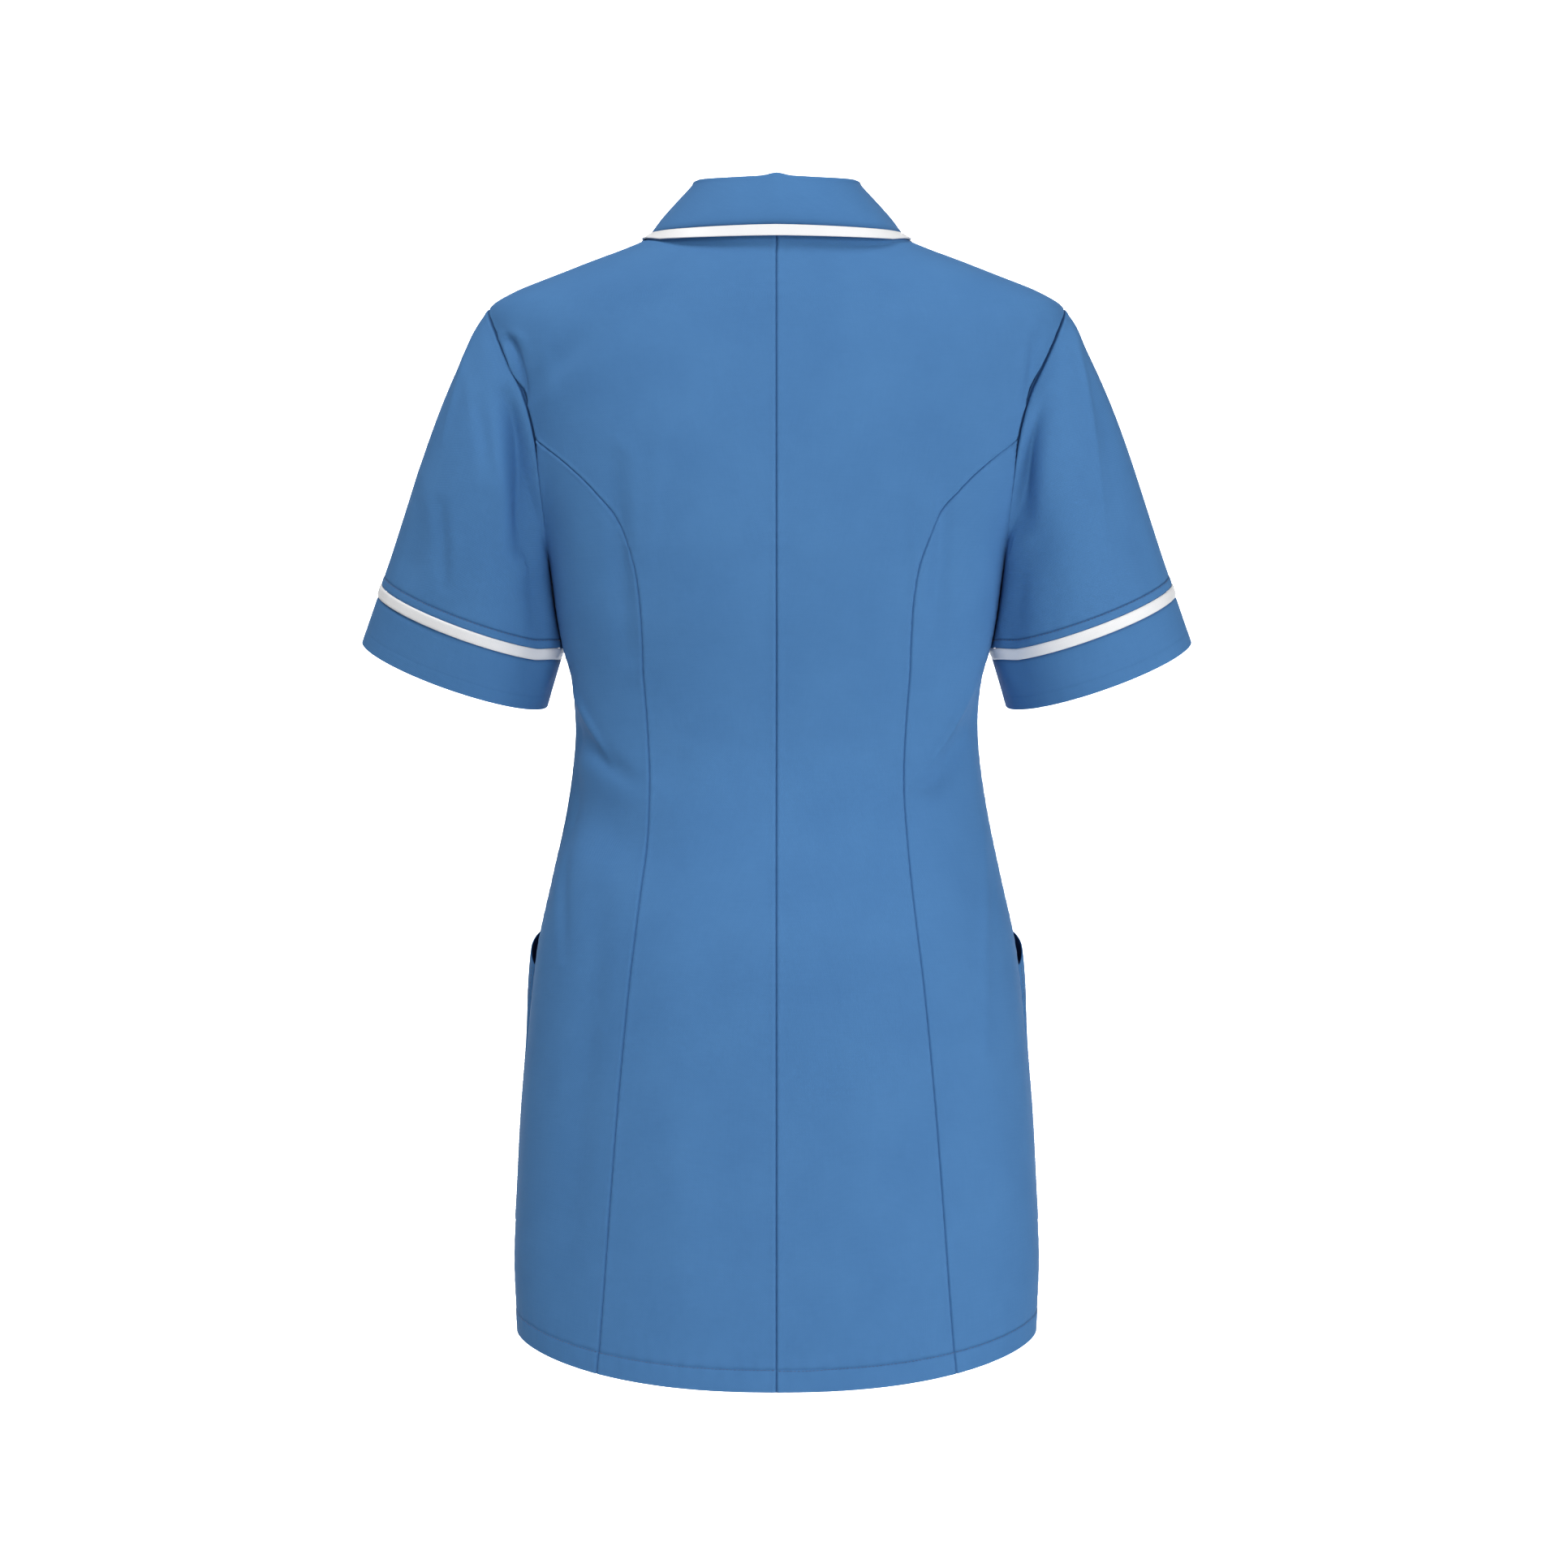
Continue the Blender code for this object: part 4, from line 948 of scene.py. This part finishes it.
collarForm = {
    "thickness": 0.8, "trimThickness": 1.2, "out": 1.3, "trimOut": 1.75, "columns": 76,
    "crown": 0.6, "hollow": 0.3, "hollowAt": 2.9, "hollowReach": 1.2,
    # seam's angle at the neck, fold x y z, edge x y z
    "back": ((90, 0, 56, 38.4, 0, 69, -0.6), (62, 27, 51, 37.6, 40, 66, -1.2),
             (35, 46, 33, 38.5, 68, 54.5, -1.6), (15, 52.5, 13, 39.3, 85, 29, -1.6)),
    # seam's height on the front's neckline, fold x y z, edge x y z
    "front": ((10, 53, -5, 38.2, 88, -3, 0.4), (0, 51, -32, 26, 95, -38, -8), (-25, 46, -61, -5, 95, -66, -38),
              (-55, 36, -86, -42, 84, -90, -76), (-88, 18, -105, -80, 52, -112, -112),
              (-112, 4, -115, -109, 16, -119, -126)),
    "trim": 7.8, "peak": 1.6, "peakReach": 6, "foldHalf": 1.6, "foldOver": 2.56, "foldDrop": 2.4, "foldReach": 3.6,
    "foldCells": 5, "crownStart": 0.3, "seamRise": 1.2, "lapRise": 2.6, "lapFull": -104, "lapGone": -72,
    "clear": 0.5, "clearBelow": 8, "settledGap": 0.3, "settledShare": 0.3, "settleReach": 12, "settleFrom": 0.5,
    "standShares": (0, 0.02, 0.06, 0.12, 0.22, 0.36, 0.5, 0.66, 0.82, 1.0), "leafCells": 14,
    "tapeShares": (0, 0.03, 0.07, 0.2, 0.4, 0.6, 0.8, 0.93, 0.97, 1.0),
    # depth and width of the leaf's dark edge in rows, a dip that is also painted shade, then of the tape's rounding and
    # its painted-shade lines in shares of its width
    "leafEdge": (0.5, 1.2), "tapeRound": (0.5, 0.05), "tapeLine": (0.5, 0.06),
}


def collarSections():
    form = collarForm
    seams, folds, edges = [], [], []
    for rows, behind in ((form["back"], True), (form["front"], False)):
        for first, foldX, foldY, foldZ, edgeX, edgeY, edgeZ in rows:
            height = torsoForm["neckHeight"] if behind else min(first, torsoForm["neckHeight"])
            angle = math.radians(first) if behind else necklineAngle(height)
            lap = form["lapRise"] * (1 - smoothStep(form["lapFull"], form["lapGone"], height))
            seams.append(torsoPoint(angle, float(height)) + np.array([0, -lap, form["seamRise"]]))
            folds.append((foldX, foldY, foldZ))
            edges.append((edgeX, edgeY, edgeZ))
    places = np.arange(len(seams))
    at = np.linspace(0, places[-1], form["columns"] + 1)
    seam, fold, edge = [np.stack([throughTable(places, np.array(line)[:, axis], at) for axis in range(3)], -1)
                        for line in (seams, folds, edges)]
    fold[:, 2] += form["peak"] * bell(fold[:, 0] / form["peakReach"]) * (fold[:, 1] > 0)
    return seam, fold, edge


def keptClear(points, t):
    # the leaf lies over the shoulders and chest without touching them, its edge settled close to them
    angle = np.arctan2(points[..., 1], points[..., 0])
    height = np.minimum(points[..., 2], torsoForm["neckHeight"] - 1)
    normal = torsoNormal(angle, height)
    above = ((points - torsoPoint(angle, points[..., 2])) * normal).sum(axis=-1)
    form = collarForm
    push = np.maximum(form["clear"] - above, 0) * (points[..., 2] <= form["clearBelow"])
    gap = above + push
    near = 1 - smoothStep(form["settleReach"] / 2, form["settleReach"], gap)
    low = smoothStep(form["settleFrom"], 1.0, t)
    settle = form["settledShare"] * np.maximum(gap - form["settledGap"], 0) * low * near
    return points + normal * (push - settle)[..., None]


def collarStrip():
    # rows up the stand, over the fold and down the leaf, for the wearer's left half
    form = collarForm
    seam, fold, edge = collarSections()
    outward = unit((edge - seam) * np.array([1.0, 1.0, 0.0]))
    drop = np.array([0, 0, -form["foldDrop"]])
    half, over = outward * form["foldHalf"], outward * form["foldOver"]
    standTop, leafTop = fold - half + drop, fold + half + drop
    rise, fall = unit(standTop - seam) * form["foldReach"], unit(edge - leafTop) * form["foldReach"]
    turn = np.linspace(0, 1, form["foldCells"] + 1)[1:]
    rows = [seam + (standTop - seam) * share for share in form["standShares"]]
    rows += [hermite(standTop, rise, fold, over, t) for t in turn]
    rows += [hermite(fold, over, leafTop, fall, t) for t in turn]
    leaf = edge - leafTop
    length = np.linalg.norm(leaf, axis=-1, keepdims=True)
    side = unit(np.cross(np.gradient(edge, axis=0), leaf))
    side = side * np.sign((side * outward).sum(axis=-1, keepdims=True))
    before = 1 - form["trim"] / length
    place = np.linspace(0, len(form["back"]) + len(form["front"]) - 1, form["columns"] + 1)
    crown = (form["crown"] - form["hollow"] * bell((place - form["hollowAt"]) / form["hollowReach"]))[:, None]

    def leafRows(t):
        bulge = crown * np.sin(math.pi * t) * smoothStep(0, form["crownStart"], t)
        return keptClear(leafTop + leaf * t + side * bulge, t[..., 0])

    leafShares = np.linspace(0, 1, form["leafCells"] + 1)[1:, None, None]
    tapeShares = np.array(form["tapeShares"])[:, None, None]
    return np.concatenate([np.array(rows), leafRows(before * leafShares)]), leafRows(before + (1 - before) * tapeShares)


def collarPiece(name, half, out, seam, thickness, material):
    whole = np.concatenate([half[:, :0:-1] * np.array([-1.0, 1.0, 1.0]), half], axis=1)
    along, up = np.gradient(whole, axis=1), np.gradient(whole, axis=0)
    normals = unit(np.cross(along, up))
    middle = whole.shape[1] // 2
    if normals[-1, middle, 1] < 0:
        normals = -normals
    points = whole + normals * out
    uv = np.stack([cumulative(points), cumulative(points.transpose(1, 0, 2)).T], -1)
    return finishedSheet(name, 1, points, normals, uv, seam, thickness, material)


def makeCollar():
    form = collarForm
    strip, tape = collarStrip()
    # the leaf's edge under the tape dips in and is darkened with painted shade
    under = softLine(form["leafEdge"], np.linspace(1, 0, len(strip))[:, None] * len(strip))
    collar = collarPiece("collarCloth", strip, form["out"] - under[..., None], under, form["thickness"], blueCloth)
    across = np.linspace(0, 1, len(tape))[:, None]
    rounded = softLine(form["tapeRound"], across) + softLine(form["tapeRound"], 1 - across)
    # painted shade along both edges of the tape
    lines = softLine(form["tapeLine"], np.minimum(across, 1 - across))
    tape = collarPiece("collarTape", tape, form["trimOut"] - rounded[..., None], lines, form["trimThickness"],
                       whiteTrim)
    return collar, tape


collar, collarTape = makeCollar()
print("collar made")


# patch pockets, gaping a little at the mouth beside the side seam, their inner faces painted dark as shadow

pocketForm = {
    "thickness": 0.8, "out": 1.15, "sideAngle": -1.6, "inner": 62, "bottom": -640, "mouthSide": -473,
    "mouthInner": -440, "mouthTurn": 3.2, "gape": 10.5, "gapeLean": 0.75, "gapeStart": 0.5,
    "columns": 64, "rows": 84, "band": 22, "bandShare": 0.6, "stitch": 2.2, "edgeDrop": 0.35, "edgeReach": 1.5,
    "stitchDent": (0.3, 0.7), "stitchLine": (0.4, 0.7), "bandLine": (0.4, 0.8),
}


def easedShare(cells):
    # closer together towards both ends
    even = np.linspace(0, 1, cells + 1)
    return ((1 - np.cos(math.pi * even)) / 2 + even) / 2


def pocketGrid():
    form = pocketForm
    share, up = easedShare(form["columns"])[None, :], easedShare(form["rows"])[:, None]
    mouth = form["mouthSide"] + (form["mouthInner"] - form["mouthSide"]) * (1 - (1 - share)**form["mouthTurn"])
    height = form["bottom"] + (mouth - form["bottom"]) * up
    start = math.radians(form["sideAngle"])
    angle = start + (angleAtWidth(float(form["inner"]), height, False) - start) * share
    low = smoothStep(form["gapeStart"], 1.0, up)
    out = form["out"] + np.sin(math.pi * share) * np.sin(math.pi * np.minimum(up, 0.5))
    out = out + form["gape"] * np.sin(math.pi * share**form["gapeLean"]) * low
    return torsoPoint(angle, height), torsoNormal(angle, height), out


def makePocket(side):
    form = pocketForm
    points, normals, out = pocketGrid()
    length = cumulative(points.transpose(1, 0, 2)).T
    width = cumulative(points)
    fromTop, fromSide = length[-1:] - length, np.minimum(width, width[:, -1:] - width)
    fromEdge = np.minimum(fromSide, length)
    fromBand, fromStitch = form["band"] - fromTop, fromEdge - form["stitch"]
    out = out + stitchedShape(fromBand, width, 0.0) * form["bandShare"]
    out = out - form["edgeDrop"] * (1 - smoothStep(0, form["edgeReach"], fromEdge))
    out = out - softLine(form["stitchDent"], fromStitch) * (fromTop > form["stitch"])
    # painted shade along the stitching and the band's stitch line
    seam = np.maximum(softLine(form["bandLine"], fromBand), softLine(form["stitchLine"], fromStitch))
    # the reverse face gets the painted-shadow cloth
    return finishedSheet("hipPocket_" + sideName(side), side, points + normals * out[..., None], normals,
                         np.stack([width, length], axis=-1), seam, form["thickness"], blueCloth, reverse=pocketShadowCloth)


pockets = {side: makePocket(side) for side in (1, -1)}
print("pockets made")


# buttons: dished discs with four holes, sewn on with a cross of thread

buttonForm = {
    "heights": (-158, -258, -358, -458, -558), "radius": 8.4, "thickness": 2.5, "lift": 2.25, "rim": 1.5, "dish": 0.7,
    "slope": 0.5, "soften": 0.45, "softenSteps": 3, "sides": 48, "holeRadius": 0.85, "holeReach": 1.55, "holeSides": 12,
    "threadRadius": 0.42, "threadSides": 8, "threadRise": 0.5, "threadStep": 0.3, "tiltReach": 9.0,
}


def modelButton():
    # lies flat, its face up
    form = buttonForm
    bpy.ops.mesh.primitive_cylinder_add(vertices=form["sides"], radius=form["radius"] * mm,
                                        depth=form["thickness"] * mm)
    button = bpy.context.view_layer.objects.active
    bpy.ops.object.mode_set(mode="EDIT")
    bpy.ops.mesh.select_all(action="DESELECT")
    bpy.ops.object.mode_set(mode="OBJECT")
    for face in button.data.polygons:
        face.select = face.normal.z > 0.9
    bpy.ops.object.mode_set(mode="EDIT")
    bpy.ops.mesh.select_mode(type="FACE")
    bpy.ops.mesh.inset(thickness=form["rim"] * mm)
    bpy.ops.mesh.inset(thickness=form["slope"] * mm)
    bpy.ops.transform.translate(value=(0, 0, -form["dish"] * mm))
    bpy.ops.object.mode_set(mode="OBJECT")
    onlySelect(button)
    soften = button.modifiers.new("rim", "BEVEL")
    soften.width = form["soften"] * mm
    soften.segments = form["softenSteps"]
    soften.limit_method = "ANGLE"
    bpy.ops.object.modifier_apply(modifier=soften.name)
    for corner in range(4):
        turn = math.radians(45 + 90 * corner)
        spot = (form["holeReach"] * mm * math.cos(turn), form["holeReach"] * mm * math.sin(turn), 0)
        bpy.ops.mesh.primitive_cylinder_add(vertices=form["holeSides"], radius=form["holeRadius"] * mm,
                                            depth=3 * form["thickness"] * mm, location=spot)
        drill = bpy.context.view_layer.objects.active
        onlySelect(button)
        cut = button.modifiers.new("hole", "BOOLEAN")
        cut.operation = "DIFFERENCE"
        cut.solver = "EXACT"
        cut.object = drill
        bpy.ops.object.modifier_apply(modifier=cut.name)
        bpy.data.objects.remove(drill, do_unlink=True)
    return button


def modelThread():
    form = buttonForm
    strands = []
    for corner in range(2):
        bpy.ops.mesh.primitive_cylinder_add(vertices=form["threadSides"], radius=form["threadRadius"] * mm,
                                            depth=2 * form["holeReach"] * mm,
                                            rotation=(math.pi / 2, 0, math.radians(45 + 90 * corner)))
        strands.append(bpy.context.view_layer.objects.active)
        bpy.ops.object.transform_apply(location=False, rotation=True, scale=False)
        for vertex in strands[-1].data.vertices:
            reach = (vertex.co.x**2 + vertex.co.y**2)**0.5 / (form["holeReach"] * mm)
            rise = form["threadRise"] - form["dish"] / 2 + form["threadStep"] * corner
            vertex.co.z += rise * mm * (1 - reach**2)
    onlySelect(*strands)
    bpy.ops.object.join()
    return strands[0]


def placedCopy(model, name, place, material):
    copy = placed(name, model.data.copy())
    copy.data.transform(place)
    copy.data.materials.clear()
    copy.data.materials.append(material)
    copy.data.shade_smooth()
    return copy


def buttonPlace(height, out):
    # the front's centre line at this height, facing away from the body
    angle, reach = np.array([-math.pi / 2] * 3), buttonForm["tiltReach"]
    at, above, below = torsoPoint(angle, np.array([height, height + reach, height - reach]))
    up = Vector(above - below).normalized()
    facing = Vector((1, 0, 0)).cross(up).normalized()
    turn = Matrix((Vector((1, 0, 0)), up, facing)).transposed().to_4x4()
    return Matrix.Translation((Vector(at) + facing * out) * mm) @ turn


def makeButtons():
    form = buttonForm
    button, cross = modelButton(), modelThread()
    made = []
    for number, height in enumerate(form["heights"], 1):
        name = "button%d" % number
        place = buttonPlace(height, form["lift"] + form["thickness"] / 2)
        made.append((placedCopy(button, name, place, whiteButton),
                     placedCopy(cross, name + "Thread", place, whiteThread)))
    for model in (button, cross):
        bpy.data.objects.remove(model, do_unlink=True)
    return made


buttons = makeButtons()
print("buttons made")


# stitches: one modelled stitch repeated along each line and set on the cloth

stitchForm = {
    "size": (1.75, 0.5, 0.42), "pitch": 2.4, "sides": 6, "rings": 4, "sink": 0.19, "pathOut": 1.0, "aim": 0.4,
    "touch": 0.05, "paceReach": 0.04, "frontIn": 5.0, "frontEnds": (2, -4), "backEnd": 0.01, "frontPast": 0.1,
    "holeLength": 19.0, "holeHalf": 1.1, "holePitch": 0.5, "holeSize": (1.7, 0.5, 0.55), "holeStart": 3.0,
    "holeSquare": 0.4, "hemPoints": 400, "edgePoints": 300, "holePoints": 120,
}


def modelStitch():
    form = stitchForm
    bpy.ops.mesh.primitive_uv_sphere_add(segments=form["sides"], ring_count=form["rings"], radius=0.5,
                                         rotation=(0, math.pi / 2, 0))
    stitch = bpy.context.view_layer.objects.active
    bpy.ops.object.transform_apply(location=False, rotation=True, scale=False)
    shape = np.array([vertex.co[:] for vertex in stitch.data.vertices])
    # sorted, because the sphere's faces come in another order from run to run
    faces = sorted(tuple(face.vertices) for face in stitch.data.polygons)
    bpy.data.objects.remove(stitch, do_unlink=True)
    return shape, faces


def surfaceOf(pieces):
    trees = []
    for piece in pieces:
        mesh = piece.data
        trees.append(BVHTree.FromPolygons([v.co for v in mesh.vertices], [tuple(p.vertices) for p in mesh.polygons]))
    return trees


def onSurface(trees, point):
    hits = [tree.find_nearest(Vector(point * mm)) for tree in trees]
    near = min((hit for hit in hits if hit[0] is not None), key=lambda hit: hit[3])
    return np.array(near[0]) / mm, np.array(near[1])


def spacedAlong(path, pitch):
    steps, aim = alongPath(path), stitchForm["aim"]
    count = max(2, int(steps[-1] / pitch))
    at = (np.arange(count) + 0.5) * steps[-1] / count
    spots, ahead, behind = (np.stack([np.interp(place, steps, path[:, axis]) for axis in range(3)], -1)
                            for place in (at, at + aim, at - aim))
    return spots, unit(ahead - behind)


def stitchRow(name, paths, pieces, material, pitch=None, size=None, crosswise=False):
    # paths run just off the cloth, and each stitch is set down on the nearest cloth
    form = stitchForm
    trees = surfaceOf(pieces)
    size = np.array(size or form["size"])
    points, faces = [], []
    for path in paths:
        for spot, along in zip(*spacedAlong(path, pitch or form["pitch"])):
            seat, normal = onSurface(trees, spot)
            away = unit(spot - seat) if np.linalg.norm(spot - seat) > form["touch"] else normal
            normal = normal if np.dot(normal, away) > 0 else -normal
            across = unit(np.cross(normal, along))
            along = np.cross(across, normal)
            axes = np.array([across, -along, normal] if crosswise else [along, across, normal])
            shape = (stitchShape * size) @ axes + seat + normal * (size[2] / 2 - form["sink"])
            start = len(points) * len(stitchShape)
            points.append(shape)
            faces += [tuple(start + corner for corner in face) for face in stitchFaces]
    return meshPiece(name, (np.concatenate(points) * mm).tolist(), faces, material)


stitchShape, stitchFaces = modelStitch()


def torsoPath(angle, height, side):
    lift = overlapLift(angle, height) if side < 0 else 0.0
    return mirrored(torsoCloth(angle, height, side, lift + stitchForm["pathOut"])[0], side)


def hemPath(side):
    # from beside the centre back round to the front's free edge
    form = stitchForm
    angle = np.linspace(math.pi / 2 - form["backEnd"], -math.pi / 2 - form["frontPast"], form["hemPoints"])
    return torsoPath(angle, 0 * angle + torsoForm["hemHeight"] + seamLook["hemStitch"], side)


def frontEdgePath():
    low, high = stitchForm["frontEnds"]
    height = np.linspace(torsoForm["hemHeight"] + low, panelForm["necklineEnd"] + high, stitchForm["edgePoints"])
    angle = angleAtWidth(0 * height + stitchForm["frontIn"] - panelForm["frontOverlap"], height, False)
    return torsoPath(angle, height, -1)


def sleeveStitchPath(side):
    around, below = np.linspace(0, 2 * math.pi, stitchForm["edgePoints"]), stitchForm["paceReach"]
    pace = np.linalg.norm(sleevePath(around, 1.0) - sleevePath(around, 1 - below), axis=1) / below
    points, normals = sleeveCloth(around, 1 - sleeveForm["stitchAbove"] / pace, side, 0 * around)
    return mirrored(points + normals * stitchForm["pathOut"], side)


def pocketPaths(side):
    form = pocketForm
    points, normals, out = pocketGrid()
    finished = mirrored(points + normals * (out + stitchForm["pathOut"])[..., None], side)
    length, width = cumulative(finished.transpose(1, 0, 2)).T, cumulative(finished)

    def at(lines, distances, wanted):
        return np.array([[np.interp(wanted, distance, line[:, axis]) for axis in range(3)]
                         for line, distance in zip(lines, distances)])

    inner = at(finished, width, form["stitch"])
    outer = at(finished[:, ::-1], width[:, -1:] - width[:, ::-1], form["stitch"])
    bottom = at(finished.transpose(1, 0, 2), length.T, form["stitch"])
    band = at(finished[::-1].transpose(1, 0, 2), (length[-1:] - length[::-1]).T, form["band"])
    keep = slice(2, -2)
    return [inner[keep], outer[keep], bottom[keep], band[keep]]


rows = {}
for side in (1, -1):
    name = sideName(side)
    torso = [panels["back", side], panels["sideBack", side], panels["front", side]]
    for line, paths, pieces in (("hem", [hemPath(side)], torso),
                                ("sleeve", [sleeveStitchPath(side)], [sleeves[side]["sleeve"]]),
                                ("pocket", pocketPaths(side), [pockets[side]])):
        rows[line, side] = stitchRow(line + "Stitches_" + name, paths, pieces, blueThread)
rows["edge"] = stitchRow("frontEdgeStitches", [frontEdgePath()], [panels["front", -1]], blueThread)


def buttonholePath(height):
    # a long thin loop on the lapping front, from the button away from the free edge
    form = stitchForm
    turn = np.linspace(0, 2 * math.pi, form["holePoints"])
    half = form["holeLength"] / 2
    x = form["holeStart"] - half + half * np.sign(np.cos(turn)) * abs(np.cos(turn))**form["holeSquare"]
    z = height + form["holeHalf"] * np.sin(turn)
    return torsoPath(angleAtWidth(-x, z, False), z, -1)


holes = [buttonholePath(height) for height in buttonForm["heights"]]
rows["buttonhole"] = stitchRow("buttonholeStitches", holes, [panels["front", -1]], blueThread,
                               stitchForm["holePitch"], stitchForm["holeSize"], True)
print("stitches made")


# frame table: what each piece rides on and stands for

def entry(piece, node=None):
    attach(piece, "root")
    if node:
        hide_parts(node)


for side in (1, -1):
    name = sideName(side)
    back, sideBack, front = (panels[part, side] for part in ("back", "sideBack", "front"))
    for piece, node in ((back, "back_"), (sideBack, "side_back_"), (front, "front_"), (pockets[side], "pocket_")):
        entry(piece, node + name)
    for part, node in (("sleeve", "sleeve_"), ("trim", "cuff_trim_"), ("cuff", "cuff_")):
        entry(sleeves[side][part], node + name)
    for line in ("hem", "sleeve", "pocket"):
        entry(rows[line, side])
entry(collar, "collar")
entry(collarTape, "collar_trim")
for number, (disc, sewn) in enumerate(buttons, 1):
    entry(disc, "button_%d" % number)
    entry(sewn)
entry(rows["edge"])
entry(rows["buttonhole"])


# floor, light and camera

studio = {
    "floorHeight": -1.42, "halfWidth": 2.2, "near": 2.4, "far": -4.6, "corner": 1.4, "cornerSteps": 13,
    "wallHeight": 1.6, "paper": (0.86, 0.86, 0.86, 1.0), "paperShade": (0.84, 0.84, 0.845, 1.0),
    "world": 0.19, "worldColour": (0.97, 0.985, 1.0, 1.0),
    "lights": (
        # name, place, aim, size, watts, colour
        ("key", (-1.2, 2.9, 1.0), (0.0, 0.0, -0.40), 1.1, 29, (1.0, 1.0, 1.0)),
        ("high", (1.3, 0.8, 2.8), (0.0, 0.0, -0.10), 1.2, 74, (1.0, 0.98, 0.96)),
        ("low", (-0.2, 3.0, -1.1), (0.0, 0.0, -0.65), 0.8, 16, (1.0, 1.0, 1.0)),
        ("fill", (-3.1, 1.4, -0.3), (0.0, 0.0, -0.40), 1.4, 38, (1.0, 0.99, 0.98)),
        ("frontFill", (-0.8, -3.2, 0.6), (0.0, 0.0, -0.35), 1.8, 4, (1.0, 1.0, 1.0)),
        ("wallLeft", (1.6, -2.4, 0.4), (0.8, -4.6, -0.5), 1.6, 150, (1.0, 1.0, 1.0)),
        ("wallRight", (-1.6, -2.4, 0.4), (-0.8, -4.6, -0.5), 1.6, 150, (1.0, 1.0, 1.0)),
    ),
    "cameraPlace": (-0.0048, 3.5, -0.354), "lens": 122.4, "sensor": 36.0,
}


def makeFloor():
    # a pale sheet that runs along the floor and curves up behind the tunic
    look = studio
    turn = np.linspace(0, math.pi / 2, look["cornerSteps"])
    low, corner = look["floorHeight"], look["corner"]
    y = [look["near"]] + list(look["far"] + corner - corner * np.sin(turn)) + [look["far"]]
    z = [low] + list(low + corner * (1 - np.cos(turn))) + [look["wallHeight"]]
    points = [(x, b, c) for b, c in zip(y, z) for x in (-look["halfWidth"], look["halfWidth"])]
    faces = [(2 * i, 2 * i + 1, 2 * i + 3, 2 * i + 2) for i in range(len(y) - 1)]
    made = Finish("palePaper", {"Roughness": 0.9, "Specular IOR Level": 0.2})
    cloud = made.noise(made.objectPlace(), 3.0)
    made.feed("Base Color", made.blend(cloud, look["paper"], look["paperShade"]))
    floor = meshPiece("paleFloor", points, faces, made.material)


def makeLights():
    for name, place, aim, size, watts, colour in studio["lights"]:
        light = bpy.data.lights.new(name, "AREA")
        light.shape = "SQUARE"
        light.size = size
        light.energy = watts
        light.color = colour
        lamp = placed(name, light)
        lamp.location = place
        lamp.rotation_euler = (Vector(aim) - Vector(place)).to_track_quat("-Z", "Y").to_euler()
    world = bpy.data.worlds.new("studio")
    world.use_nodes = True
    sky = world.node_tree.nodes["Background"].inputs
    sky["Color"].default_value = studio["worldColour"]
    sky["Strength"].default_value = studio["world"]
    bpy.context.scene.world = world
    bpy.context.scene.view_settings.view_transform = "Standard"


def makeCamera():
    lens = bpy.data.cameras.new("camera")
    lens.lens = studio["lens"]
    lens.sensor_width = studio["sensor"]
    camera = placed("camera", lens)
    camera.location = studio["cameraPlace"]
    camera.rotation_euler = (math.pi / 2, 0, math.pi)
    bpy.context.scene.camera = camera


makeFloor()
makeLights()
makeCamera()
print("studio ready")
